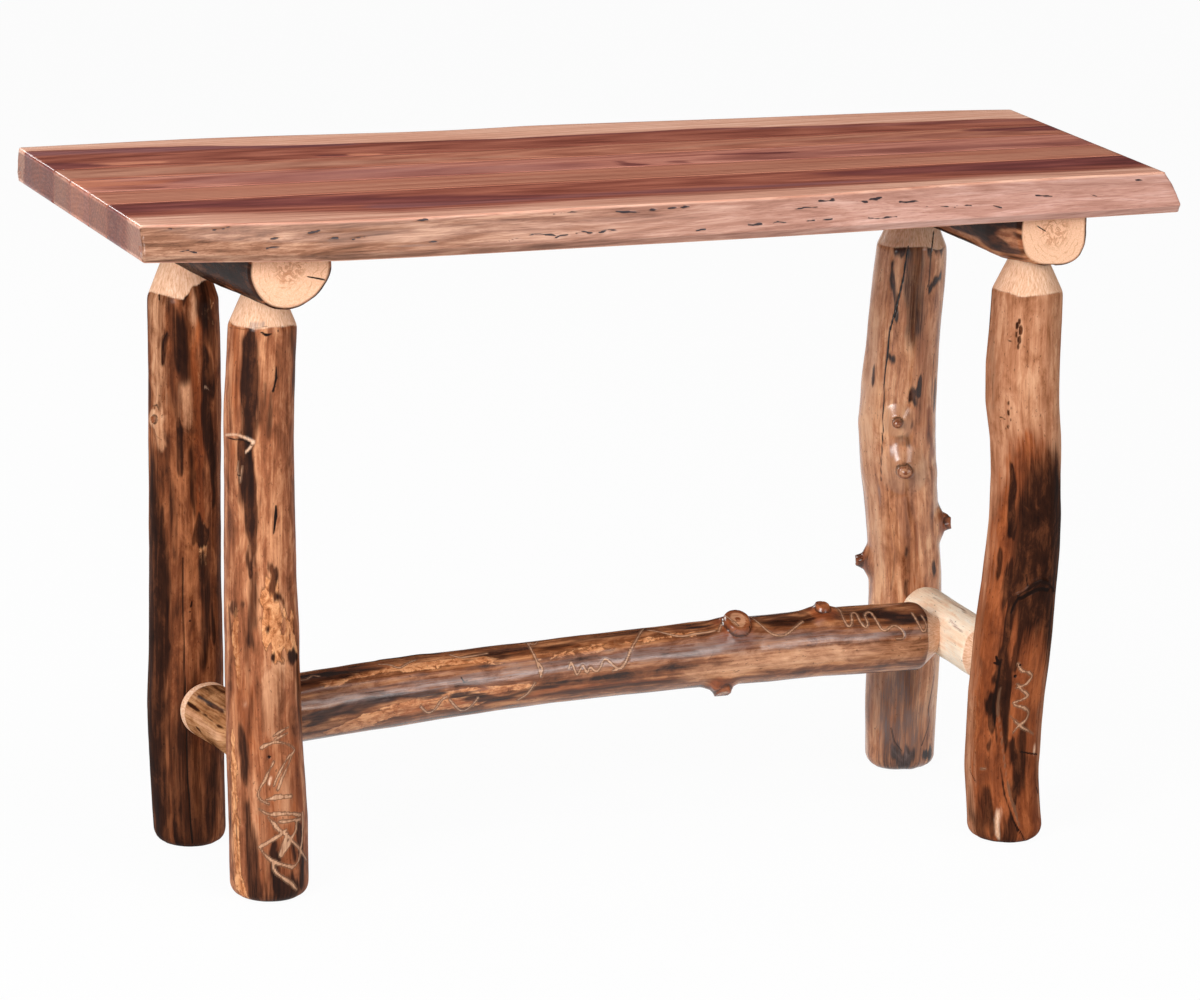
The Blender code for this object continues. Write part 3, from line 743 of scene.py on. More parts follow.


# %% [markdown]
# ## The peeled log finish
# A peeled log is honey-coloured sapwood with brown streaks of inner bark that the drawknife left. The
# streaks follow the fibres, so the noise is stretched along the log. The stored layers then lay dark
# bark, bare cones, golden flakes, stains, beetle tracks and cracks over it, each frayed by the same
# fibres so that no edge looks printed. The stain layer also carries a painted sheen and painted shade,
# and the tracks get painted shade at their rims. A satin varnish lies over everything. A picture of bark
# could be wrapped round the log, but its seam and its repeats would show. Noise has neither.

# %% Noises of a peeled log


class LogRecipe(Recipe):
    """A recipe that has the noises of a peeled log, all drawn out along its fibres."""

    def __init__(self, name, run, stripes):
        super().__init__(name)
        grain = self.stored("grain", "Vector")
        self.fibre = self.noise(grain, (560, 560, 26), 6.0, 0.62)
        self.streak = self.noise(grain, (120, 120, run), 6.0, 0.6, 0.4)
        self.patch = self.noise(grain, (56, 56, 26), 8.0, 0.68, 0.5)
        self.cloud = self.noise(grain, (22, 22, 9), 4.0, 0.55)
        self.thread = self.noise(grain, (640, 640, 15), 4.0, 0.62)
        self.speck = self.noise(grain, (420, 420, 190), 2.0, 0.5)
        self.fuzz = self.noise(grain, (700, 700, 170), 5.0, 0.65)
        self.crumb = self.noise(grain, (130, 130, 80), 7.0, 0.68, 0.8)
        self.swirl = self.noise(grain, (95, 95, 10), 4.0, 0.6, 2.2)
        self.from_pith = self.length(self.stretch(grain, (1, 1, 0)))
        self.tone = self.total((self.streak, stripes), (self.patch, 0.82 - stripes), (self.cloud, 0.18))
        self.weave = self.minus(self.plus(self.fibre, self.patch), 1.0)
        print(name, "nodes so far:", len(self.tree.nodes))

    def border(self, cover):
        """Strongest where a layer is half there."""
        return self.times(cover, self.minus(1.0, cover))

    def frayed(self, layer, amount):
        """A stored layer whose border follows the fibres."""
        cover = self.stored(layer)
        drift = self.times(self.times(self.weave, amount), self.border(cover))
        return self.rise(self.plus(cover, drift), 0.0, 1.0)

    def flaked(self, layer, field, sharp, amount):
        """A stored layer that breaks up into flakes."""
        cover = self.stored(layer)
        torn = self.times(self.minus(field, 0.5), amount)
        island = self.rise(self.plus(cover, torn), 0.5 - sharp, 0.5 + sharp)
        return self.times(self.rise(cover, 0.02, 0.25), island)


# %% [markdown]
# The sawn end of a log shows its years: faint rings round the pith, some of them lost, and a darker
# heart. The distance from the pith gives both, shaken a little by the slow noise. The Wave texture
# gives such rings too, but perfect ones, and these can fade.

# %% Sawn ends of a log
RINGS_PER_METRE = 150.0


def sawn_end(recipe):
    """The colour of a sawn end: pale wood, rings and heart."""
    wood = recipe.ramp(recipe.fuzz, (0.36, 226, 174, 138), (0.64, 244, 200, 168))
    wave = recipe.total((recipe.from_pith, RINGS_PER_METRE), (recipe.cloud, 6.0))
    ring = recipe.rise(recipe.sums("PINGPONG", wave, 0.5), 0.03, 0.13, 1.0, 0.0)
    faint = recipe.times(ring, recipe.rise(recipe.patch, 0.44, 0.58, 0.0, 0.6))
    wood = recipe.blend(faint, wood, paint(196, 138, 100))
    spread = recipe.total((recipe.from_pith, 1.0), (recipe.cloud, 0.016))
    inner = recipe.rise(spread, 0.018, 0.032, 1.0, 0.0)
    heart = recipe.times(inner, recipe.rise(recipe.swirl, 0.47, 0.55, 0.0, 0.65))
    return recipe.blend(heart, wood, paint(180, 118, 80))


print("width of a year's ring in mm:", round(1000 / RINGS_PER_METRE, 1))

# %% [markdown]
# The finish itself is laid on from the ground up, much as on the real log: wood, tan and golden patches,
# ruddy inner bark, dark bark, threads and specks, bare wood, stains with some painted sheen and shade,
# tracks with painted shade at their rims, sawn ends and cracks.

# %% Peeled log material


def log_finish(name, dark, middle, light, gloss=0.2, lines=0.4, run=9, stripes=0.42):
    recipe = LogRecipe(name, run, stripes)
    tone, fibre, patch, crumb = recipe.tone, recipe.fibre, recipe.patch, recipe.crumb
    wood = recipe.ramp(tone, (0.39, *dark), (0.49, *middle), (0.58, *light))
    shade = recipe.blend(1.0, wood, paint(170, 126, 96), "MULTIPLY")
    wood = recipe.blend(recipe.rise(fibre, 0.36, 0.56, lines, 0.0), wood, shade)
    fawn = recipe.ramp(tone, (0.39, 158, 104, 72), (0.5, 196, 142, 106), (0.6, 218, 170, 134))
    wood = recipe.blend(recipe.frayed("tan", 4.0), wood, fawn)
    golden = recipe.ramp(crumb, (0.36, 128, 72, 40), (0.47, 188, 120, 76), (0.60, 222, 160, 112))
    flakes = recipe.flaked("golden", recipe.total((patch, 0.5), (crumb, 0.5)), 0.16, 2.5)
    wood = recipe.blend(flakes, wood, golden)
    wood = recipe.blend(recipe.rise(recipe.border(flakes), 0.06, 0.24, 0.0, 0.6), wood, paint(82, 45, 26))
    ruddy = recipe.ramp(tone, (0.39, 80, 37, 19), (0.5, 128, 66, 36), (0.6, 166, 94, 55))
    wood = recipe.blend(recipe.frayed("ruddy", 7.0), wood, ruddy)
    bark = recipe.ramp(tone, (0.39, 26, 12, 8), (0.50, 49, 25, 15), (0.60, 98, 55, 33))
    torn = recipe.flaked("bark", recipe.total((fibre, 0.5), (patch, 0.5)), 0.36, 1.9)
    wood = recipe.blend(torn, wood, bark)
    wood = recipe.blend(recipe.rise(recipe.thread, 0.32, 0.40, lines, 0.0), wood, paint(66, 37, 24))
    wood = recipe.blend(recipe.rise(recipe.speck, 0.66, 0.72, 0.0, 0.55), wood, paint(48, 27, 18))
    bare = recipe.ramp(recipe.fuzz, (0.34, 204, 150, 116), (0.50, 231, 185, 152), (0.66, 243, 208, 180))
    wood = recipe.blend(recipe.frayed("pale", 3.0), wood, bare)
    # the stain layer: real grey stains, a painted sheen on the stretcher and painted shade at cone shoulders
    wood = recipe.blend(recipe.frayed("stain", 5.0), wood, paint(128, 110, 106))
    track = recipe.stored("track")
    wood = recipe.blend(track, wood, recipe.ramp(fibre, (0.35, 152, 108, 80), (0.6, 202, 158, 126)))
    # painted shade: a dark rim along the edges of each track's groove
    wood = recipe.blend(recipe.rise(recipe.border(track), 0.08, 0.25, 0.0, 0.65), wood, paint(70, 42, 28))
    wood = recipe.blend(recipe.stored("end"), wood, sawn_end(recipe))
    wood = recipe.blend(recipe.rise(recipe.stored("crack"), 0.15, 0.75), wood, paint(26, 15, 11))
    relief = recipe.total((fibre, 1.0), (patch, 1.6), (flakes, recipe.plus(crumb, 0.6)))
    recipe.bump(relief, 0.5, 0.0008)
    roughness = recipe.rise(recipe.streak, 0.3, 0.7, 0.40, 0.55)
    return recipe.finish(wood, roughness, gloss, 0.24, specular=0.0)


honey = log_finish("honey_log", (134, 84, 55), (174, 118, 86), (200, 147, 113), 0.08, 0.25, stripes=0.3)
tawny = log_finish("tawny_log", (118, 66, 38), (192, 129, 90), (232, 178, 136), 0.9, lines=0.28)
russet = log_finish("russet_log", (92, 51, 31), (152, 92, 61), (204, 143, 103), lines=0.32)
bistre = log_finish("bistre_log", (58, 31, 19), (112, 62, 37), (164, 102, 66), 0.1, lines=0.3, run=6)
umber = log_finish("umber_log", (48, 26, 16), (132, 78, 46), (200, 138, 92), 0.85, run=6)
cream = log_finish("cream_log", (242, 202, 166), (254, 233, 206), (255, 246, 228), lines=0.12)
fallow = log_finish("fallow_log", (92, 58, 36), (164, 113, 74), (206, 156, 112), 0.04, lines=0.6)
print("log finishes:", [m.name for m in (honey, tawny, russet, bistre, umber, cream, fallow)])

# %% [markdown]
# ## Dents that every log has
# No peeled log is truly round. A slow wander gives it flats and swellings, a quicker one the
# drawknife's facets, and the far side, which the picture doesn't show, gets bark streaks of its own.
# They go into the heights of the grid, not only into a bump, so that the outline shows them too. Where
# a cone was turned at the end of a log, the bark stops at a shoulder and the bare wood is pale.

# %% Natural unevenness
STEEP = -0.35
SHOULDER_BORDER = 0.0012


def weather(log, bark_share, uneven=1.0):
    """Dents all round, and bark streaks on the side that isn't seen."""
    log.height += 0.0009 * uneven * log.wander(90, 22, 1)
    log.height += 0.0003 * uneven * log.wander(20, 6, 2)
    log.height += 0.00006 * log.wander(6, 1.6, 3)
    streaks = 0.75 * log.wander(70, 8, 4) + 0.5 * log.wander(20, 3, 5)
    lay(log, "bark", log.far * ease(streaks, 1.1 - 2.2 * bark_share, 1.9 - 2.2 * bark_share))
    flakes = 0.8 * log.wander(30, 10, 6) + 0.5 * log.wander(8, 2.5, 7)
    lay(log, "golden", 0.8 * log.far * ease(flakes, 1.1, 1.7))


def bare_cone(log, shoulder, last=True):
    """Pale cut wood beyond the shoulder where a cone was turned."""
    gap = log.rows[:, None] - (shoulder + SHOULDER_BORDER * log.wander(30, 9, 8 if last else 9))
    cover = ease(gap if last else -gap, -SHOULDER_BORDER, SHOULDER_BORDER)
    lay(log, "pale", cover)
    for name in ("bark", "golden", "ruddy"):
        log.layers[name] *= 1.0 - cover


def shoulder_of(log, last=True):
    """Place along the log where it starts to narrow to its cone."""
    steep = np.gradient(log.radius, log.rows) * (1 if last else -1)
    middle = len(steep) // 2
    for k in range(middle, len(steep)) if last else range(middle, -1, -1):
        if steep[k] < STEEP:
            return float(log.rows[k])
    raise ValueError("no cone on " + log.node)


print("a cone starts where the radius falls by", -STEEP, "mm in 1 mm")

# %% [markdown]
# ## The front left leg
# This leg tells the most: a dark band of bark down its left, a scar across it, golden flakes in the
# middle and a tangle of beetle tracks near the foot. Each mark is one trail. Wide soft ones are stains
# and bark, thin ones cracks, and tracks are cut half a millimetre deep. A row of the list gives the
# layer, strength, softness and fray, the spots, and then a depth and True for curves where needed.

# %% Marks of the front left leg
FRONT_LEFT_MARKS = [
    ("ruddy", 0.7, 4, 2, [(235, 338, 5), (236, 371, 5), (235, 404, 5), (233, 419, 4)]),
    ("ruddy", 0.7, 4, 2, [(233, 454, 5), (232, 466, 4)]),
    ("bark", 1, 3, 2, [(250, 347, 8), (250, 371, 10), (250, 395, 10), (249, 419, 10), (248, 434, 9)]),
    ("bark", 1, 3, 2.5, [(244, 446, 10), (246, 466, 11), (250, 490, 9), (251, 514, 8), (251, 538, 7),
        (252, 560, 5)]),
    ("bark", 0.55, 4, 0, [(229, 385, 2), (229, 409, 3), (230, 428, 3)]),
    ("bark", 0.7, 5, 2, [(292, 335, 3), (294, 352, 5), (294, 376, 5), (295, 404, 6), (294, 426, 3)]),
    # painted shade along the shoulder under the cone: a grey stain and a thin dark line
    ("stain", 0.5, 0.6, 0, [(251, 325, 1.5), (262, 324, 1.2)]),
    ("crack", 0.5, 0.8, 0, [(229, 327, 0.5), (245, 329, 0.8), (263, 326, 0.7)]),
    ("tan", 0.6, 4, 0, [(295, 433, 2), (296, 466, 2), (295, 490, 1.5)]),
    ("bark", 0.55, 1.5, 1, [(271, 395, 2), (269, 419, 2), (268, 433, 1.5)]),
    ("bark", 0.55, 1.5, 1, [(265, 385, 1.5), (265, 404, 1.5)]),
    ("crack", 1, 1.5, 0, [(261, 332, 0.5), (266, 335, 1.3), (271, 334, 0.4)]),
    ("crack", 1, 1.5, 0, [(278, 331, 0.8)]),
    ("crack", 1, 1.5, 0, [(276, 366, 0.4), (276, 378, 1.2), (274, 387, 0.7), (273, 391, 1.2)], 0.4),
    ("crack", 1, 1.5, 0, [(276, 506, 0.8), (276, 516, 1.8), (274, 534, 0.4)], 0.4),
    # the raised lip of the scar is painted pale: a painted highlight
    ("pale", 0.75, 0.5, 0, [(225, 435, 0.4), (236, 434, 0.4), (246, 438, 0.5),
        (253, 442, 0.8)], -1, True),
    ("pale", 0.75, 0.5, 0, [(253, 442, 1), (250, 448, 0.8), (246, 452, 0.6)], -0.7),
    ("crack", 1, 1.5, 0, [(226, 438, 0.4), (242, 440, 0.6), (251, 445, 0.4)], 0.8),
    ("track", 1, 1.5, 0, [(238, 462, 0.6), (237, 470, 0.8), (239, 478, 0.6)]),
    ("track", 1, 1.5, 0, [(242, 467, 0.7), (240, 482, 0.8)]),
    ("crack", 0.7, 1.5, 0, [(237, 475, 1), (240, 476, 0.8)]),
    ("bark", 1, 1.5, 1, [(251, 562, 2.2), (251, 573, 2.5)]),
    ("bark", 1, 1.5, 1, [(271, 569, 2)]),
    ("ruddy", 0.6, 6, 2, [(241, 685, 8), (244, 713, 9), (247, 745, 8)]),
    ("ruddy", 0.5, 8, 3, [(236, 640, 8), (238, 720, 8)]),
    ("golden", 1, 3, 3, [(272, 593, 7), (270, 606, 9), (272, 623, 12), (279, 640, 8),
        (275, 649, 5)], -0.3),
    ("golden", 1, 2, 2, [(291, 597, 2), (293, 611, 3), (285, 640, 4), (296, 649, 3)]),
    ("golden", 0.8, 3, 3, [(237, 623, 4), (234, 640, 5), (237, 661, 5), (239, 675, 4)]),
    ("ruddy", 0.65, 6, 3, [(294, 740, 7), (298, 790, 9), (297, 830, 12), (284, 868, 16)]),
    ("ruddy", 0.7, 5, 3, [(252, 690, 5), (250, 740, 7), (249, 768, 5)]),
    ("bark", 0.5, 5, 3, [(246, 650, 4), (250, 700, 3), (250, 735, 4)]),
    ("ruddy", 0.45, 10, 3, [(264, 745, 16), (268, 790, 20), (266, 840, 20)]),
    ("bark", 0.55, 8, 3, [(280, 852, 6), (274, 872, 14), (272, 892, 18)]),
    ("tan", 0.5, 4, 2.5, [(252, 772, 3), (255, 790, 7), (260, 815, 9), (262, 838, 6)]),
    ("tan", 0.5, 3, 2, [(284, 776, 4), (288, 800, 7), (284, 812, 6)]),
    ("golden", 0.75, 2, 2, [(232, 742, 4), (234, 790, 6), (237, 845, 7), (241, 890, 7)]),
    ("bark", 0.8, 2, 1.5, [(241, 734, 4), (244, 750, 7), (246, 765, 7), (244, 778, 4)]),
    ("bark", 0.75, 3, 2, [(248, 806, 2), (249, 825, 4), (251, 845, 5), (253, 865, 7), (258, 890, 10)]),
    ("bark", 0.9, 2, 1.5, [(299, 828, 3), (302, 845, 5), (303, 862, 5), (302, 882, 5)]),
    ("bark", 0.9, 1.5, 1, [(274, 845, 2.5), (272, 853, 3), (280, 860, 2)]),
    ("bark", 0.85, 1.5, 1, [(294, 846, 2), (296, 857, 3.5)]),
    ("bark", 0.75, 3, 2, [(254, 575, 3), (253, 599, 4), (251, 623, 5), (250, 640, 4)]),
    ("bark", 0.8, 1.5, 2, [(275, 575, 3), (272, 586, 2)]),
    ("bark", 0.6, 1.5, 2, [(244, 604, 3), (228, 609, 2), (229, 632, 2)]),
    ("bark", 0.95, 1.5, 1, [(272, 658, 2)]),
    ("bark", 0.9, 1.5, 1, [(268, 629, 1.5)]),
    ("bark", 0.95, 1.5, 1, [(290, 656, 3), (296, 656, 2)]),
    ("bark", 0.9, 1.5, 0.6, [(275, 596, 1.6), (281, 597, 1), (283, 602, 1)], 0, True),
    ("tan", 0.85, 3, 3, [(275, 666, 7), (272, 690, 9), (271, 713, 7), (272, 732, 5)]),
    ("bark", 0.65, 4, 2, [(296, 666, 3), (298, 694, 4), (300, 728, 4)]),
    ("pale", 0.5, 1.5, 1, [(245, 704, 2)]),
    ("crack", 0.7, 1.5, 0.4, [(229, 762, 0.6), (230, 823, 0.8), (233, 880, 0.6)]),
    ("crack", 0.6, 1.5, 0.4, [(234, 775, 0.5), (236, 820, 0.8), (238, 860, 0.5)]),
    ("ruddy", 0.7, 4, 2, [(262, 878, 7), (262, 892, 7)]),
    ("bark", 0.9, 3, 2, [(274, 872, 4), (277, 884, 6), (288, 893, 7), (301, 886, 5)]),
    ("track", 1, 1.2, 1, [(287, 834, 1.2), (284, 846, 3.4), (281, 855, 2.4)]),
    ("track", 1, 1, 0.9, [(266, 800, 0.8), (279, 797, 1.9), (294, 796, 1.5)]),
    ("pale", 0.8, 0.6, 0.5, [(271, 778, 0.8), (269, 783, 1.4)]),
]
FRONT_LEFT_TRACKS = [
    [(274, 736, 1), (281, 732, 1.7), (289, 727, 1)],
    [(275, 740, 1), (281, 737, 1.6), (288, 733, 1.2)],
    [(261, 748, 1.9), (267, 745, 1.9), (276, 742, 1.3), (287, 743, 1), (294, 746, 1), (297, 750, 1.2),
        (290, 757, 1.5), (285, 767, 1.2), (279, 776, 1.2), (275, 786, 0.9)],
    [(292, 756, 0.9), (288, 767, 1.1), (281, 779, 1.4), (276, 790, 1.1)],
    [(274, 762, 1), (269, 770, 0.9), (265, 779, 1.5), (258, 788, 1), (256, 796, 1), (260, 801, 1.2),
        (268, 804, 1)],
    [(259, 809, 1), (269, 815, 1.4), (280, 814, 2), (292, 813, 1.8), (304, 814, 1.4)],
    [(280, 822, 1.2), (291, 821, 1.9), (303, 819, 1.4)],
    [(268, 817, 1), (274, 824, 1.7), (283, 832, 1.8), (292, 837, 1.6), (298, 843, 1.9), (304, 849, 1.7),
        (309, 858, 1.5)],
    [(298, 823, 1.2), (297, 831, 1.7), (291, 840, 2.2), (284, 849, 2.4), (279, 856, 1.6)],
    [(262, 846, 1.9), (273, 840, 1.9), (283, 835, 1.6), (289, 830, 1.2)],
    [(260, 847, 1), (265, 855, 1.5), (275, 862, 1.9), (287, 865, 1.9), (298, 867, 1.6), (303, 860, 1.5),
        (305, 850, 1.1), (307, 833, 1), (306, 811, 0.9)],
    [(273, 863, 1.2), (274, 871, 1.6), (283, 877, 1.7), (292, 882, 1.9), (300, 889, 1.3)],
]
print("front left leg:", len(FRONT_LEFT_MARKS), "marks and", len(FRONT_LEFT_TRACKS), "tracks")

# %% [markdown]
# ## Making a leg
# All four legs are made alike: the solid is measured, weathered and bared at its cone, and then the
# marks are laid on. One leg could be copied three times, but no two logs are alike, so each has its own
# seed, bark and marks. A small dark hole shows where a screw was sunk to hold a rung.

# %% Front left leg
LEG_COLUMNS = 176
HOLE_HALF = 1.6


def beetle_tracks(trails, strength=0.95, fray=0.5, depth=0.5):
    """Marks for tracks: pale curves that are dug into the wood."""
    return [("track", strength, 0.8, fray, trail, depth, True) for trail in trails]


def make_leg(name, seed, marks, bark_share, uneven=1.0):
    log = Log("leg_" + name, UPRIGHT, LEG_COLUMNS, seed)
    weather(log, bark_share, uneven)
    shoulder = shoulder_of(log)
    bare_cone(log, shoulder)
    mark_all(log, marks)
    print(name, "shoulder at", round(shoulder, 3), "radius", round(log.typical, 4), "marks", len(marks))
    return log


def screw_hole(log, screw, turn):
    """The small dark hole over a sunk screw."""
    low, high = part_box(screw)
    middle = log.ways @ np.array((low + high) / 2)
    across = np.interp(middle[0], log.rows, log.centre[:, 0])
    reach = np.interp(middle[0], log.rows, log.radius)
    aside = middle[1] - across
    side = math.copysign(math.sqrt(reach**2 - aside**2), math.sin(turn))
    trace(log, "crack", [(math.atan2(side, aside), middle[0], HOLE_HALF)], soft=0.8, depth=2.5)


leg = make_leg("front_left", 11, FRONT_LEFT_MARKS + beetle_tracks(FRONT_LEFT_TRACKS), 0.35)
screw_hole(leg, "rung_screw_front_left", -math.pi / 2)
skin_log(leg, russet)

# %% [markdown]
# ## The back left leg
# It stands in the others' shade: dark patches of bark, a long drying crack, and on the right the bark
# climbs over the cone in a splinter. There the bare wood is erased again before the bark is laid on.

# %% Marks of the back left leg
BACK_LEFT_MARKS = [
    ("tan", 0.6, 7, 4, [(156, 300, 12), (156, 330, 8), (157, 360, 7), (158, 395, 6), (159, 420, 5)]),
    ("tan", 0.6, 3, 2, [(192, 302, 4), (193, 318, 4)]),
    ("tan", 0.5, 3, 2, [(186, 395, 6), (188, 420, 5)]),
    ("erase pale", 1, 1.2, 0.6, [(188, 299, 4), (195, 294, 8), (203, 292, 11), (212, 291, 13),
        (221, 292, 15)]),
    ("bark", 1, 1.5, 1.5, [(186, 282, 5), (186, 292, 5)]),
    ("bark", 0.85, 3, 2, [(201, 283, 7), (205, 304, 8), (209, 323, 7), (211, 342, 6)]),
    ("bark", 1, 3, 2, [(177, 312, 2), (178, 322, 4), (180, 333, 7), (181, 347, 7), (182, 362, 6),
        (184, 371, 4)]),
    ("bark", 1, 1.5, 1, [(167, 334, 2.5), (165, 342, 3), (164, 352, 2.5), (163, 362, 1.2)]),
    ("crack", 0.8, 1.5, 0, [(167, 333, 0.6), (163, 341, 0.7), (164, 357, 0.5)], 0, True),
    ("bark", 1, 2, 1.5, [(208, 358, 6), (209, 371, 8), (210, 385, 8), (208, 400, 5)]),
    ("bark", 0.6, 4, 2, [(173, 385, 3), (172, 400, 4), (175, 414, 3)]),
    ("bark", 1, 1.5, 2, [(180, 431, 3), (180, 454, 4), (180, 469, 3)]),
    ("bark", 0.8, 3, 2, [(191, 454, 3), (192, 490, 4), (194, 514, 3)]),
    ("bark", 1, 3, 2, [(207, 409, 4), (211, 433, 5), (214, 466, 4), (215, 502, 3)]),
    ("bark", 0.7, 3, 2, [(170, 481, 2), (172, 514, 3), (174, 557, 3)]),
    ("bark", 1, 1.5, 2, [(200, 523, 4), (198, 538, 5), (208, 533, 4)]),
    ("bark", 0.75, 1.5, 1, [(163, 509, 2), (163, 519, 3)]),
    ("bark", 1, 6, 2, [(153, 470, 5), (154, 514, 12), (155, 550, 18), (155, 578, 22)]),
    ("ruddy", 0.9, 2, 1.5, [(200, 323, 2), (195, 357, 3), (198, 400, 4), (199, 454, 5), (201, 516, 5)]),
    ("golden", 0.62, 1.5, 1.5, [(200, 323, 0.8), (196, 357, 1.2), (199, 378, 1), (197, 400, 1.2),
        (198, 423, 1), (197, 454, 1.6), (200, 490, 1.4), (201, 516, 1.6)], -0.8),
    ("golden", 0.7, 3, 2, [(204, 533, 4), (204, 552, 5), (203, 571, 4)]),
    ("golden", 0.7, 1.5, 1, [(213, 303, 2), (204, 314, 1.5), (213, 323, 1.5)]),
    ("crack", 0.6, 1.5, 0.5, [(153, 406, 0.5), (157, 405, 1.2), (160, 411, 0.6)], 0.6),
    ("bark", 0.7, 0.8, 0.8, [(155, 409, 1.6), (156, 413, 1.2)]),
    ("tan", 0.9, 1.5, 1.5, [(159, 428, 4), (162, 434, 5), (163, 443, 3)], -1.5),
    ("crack", 0.6, 1.5, 0, [(153, 424, 0.6), (156, 434, 0.7), (163, 440, 0.5)], 0, True),
    ("pale", 0.55, 0.4, 0.5, [(206, 387, 0.6), (209, 389, 0.7), (211, 392, 0.4)]),
    ("crack", 1, 1.5, 0, [(159, 295, 1), (159, 300, 0.7)]),
    ("bark", 1, 5, 2, [(155, 558, 20), (155, 629, 22), (154, 701, 22), (154, 772, 22), (156, 825, 23)]),
    ("bark", 0.85, 3, 2, [(203, 565, 6), (206, 594, 6), (207, 629, 4), (203, 665, 4)]),
    ("bark", 0.8, 1.5, 1, [(213, 606, 2), (214, 637, 2.5)]),
    ("bark", 1, 1.5, 0, [(168, 640, 1), (169, 647, 2), (168, 652, 1)]),
    ("bark", 1, 1.5, 2, [(163, 798, 2), (162, 818, 3), (160, 832, 4)]),
    ("bark", 1, 1.5, 2.5, [(179, 803, 2.5), (177, 820, 5), (179, 834, 6)]),
    ("bark", 0.8, 5, 2, [(213, 756, 5), (213, 779, 8), (213, 803, 9), (208, 825, 10), (203, 837, 9)]),
    ("bark", 0.5, 5, 2, [(172, 772, 8), (172, 796, 8)]),
    ("ruddy", 0.6, 4, 0, [(198, 713, 5), (197, 739, 6)]),
    ("bark", 0.68, 8, 3, [(190, 690, 10), (186, 760, 18), (190, 830, 24)]),
    ("crack", 1, 0.8, 0, [(183, 558, 0.5), (183, 606, 0.6), (184, 658, 0.5), (186, 710, 0.6),
        (187, 760, 0.7), (192, 843, 0.8)], 1),
    ("crack", 1, 1.5, 0, [(192, 602, 0.8), (191, 607, 0.8)]),
    ("crack", 1, 1.5, 0, [(190, 612, 0.8)]),
    ("crack", 1, 1.5, 0, [(190, 621, 1)]),
    ("crack", 1, 1.5, 0, [(164, 744, 0.8)]),
]
print("back left leg:", len(BACK_LEFT_MARKS), "marks")

# %% [markdown]
# One small knot breaks the bark on its left. It is found in the picture as a mark is. It rises as a
# cone, because a soft swelling would be lost among the dents.

# %% Back left leg
leg = make_leg("back_left", 12, BACK_LEFT_MARKS, 0.5)
knob(leg, *leg.find(156, 419), 0.009, 0.004, 0.006, "tan", "tan", True)
screw_hole(leg, "rung_screw_back_left", math.pi / 2)
skin_log(leg, bistre)

# %% [markdown]
# ## The front right leg
# Smooth honey-coloured wood above, then dark as if scorched, with a healed scar: a lip of bark arches
# over a hollow, and a raised ridge runs from it down to the foot. The lip could be a strip of its own,
# but it grew out of the wood, so the skin is raised: such trails have a depth below zero.

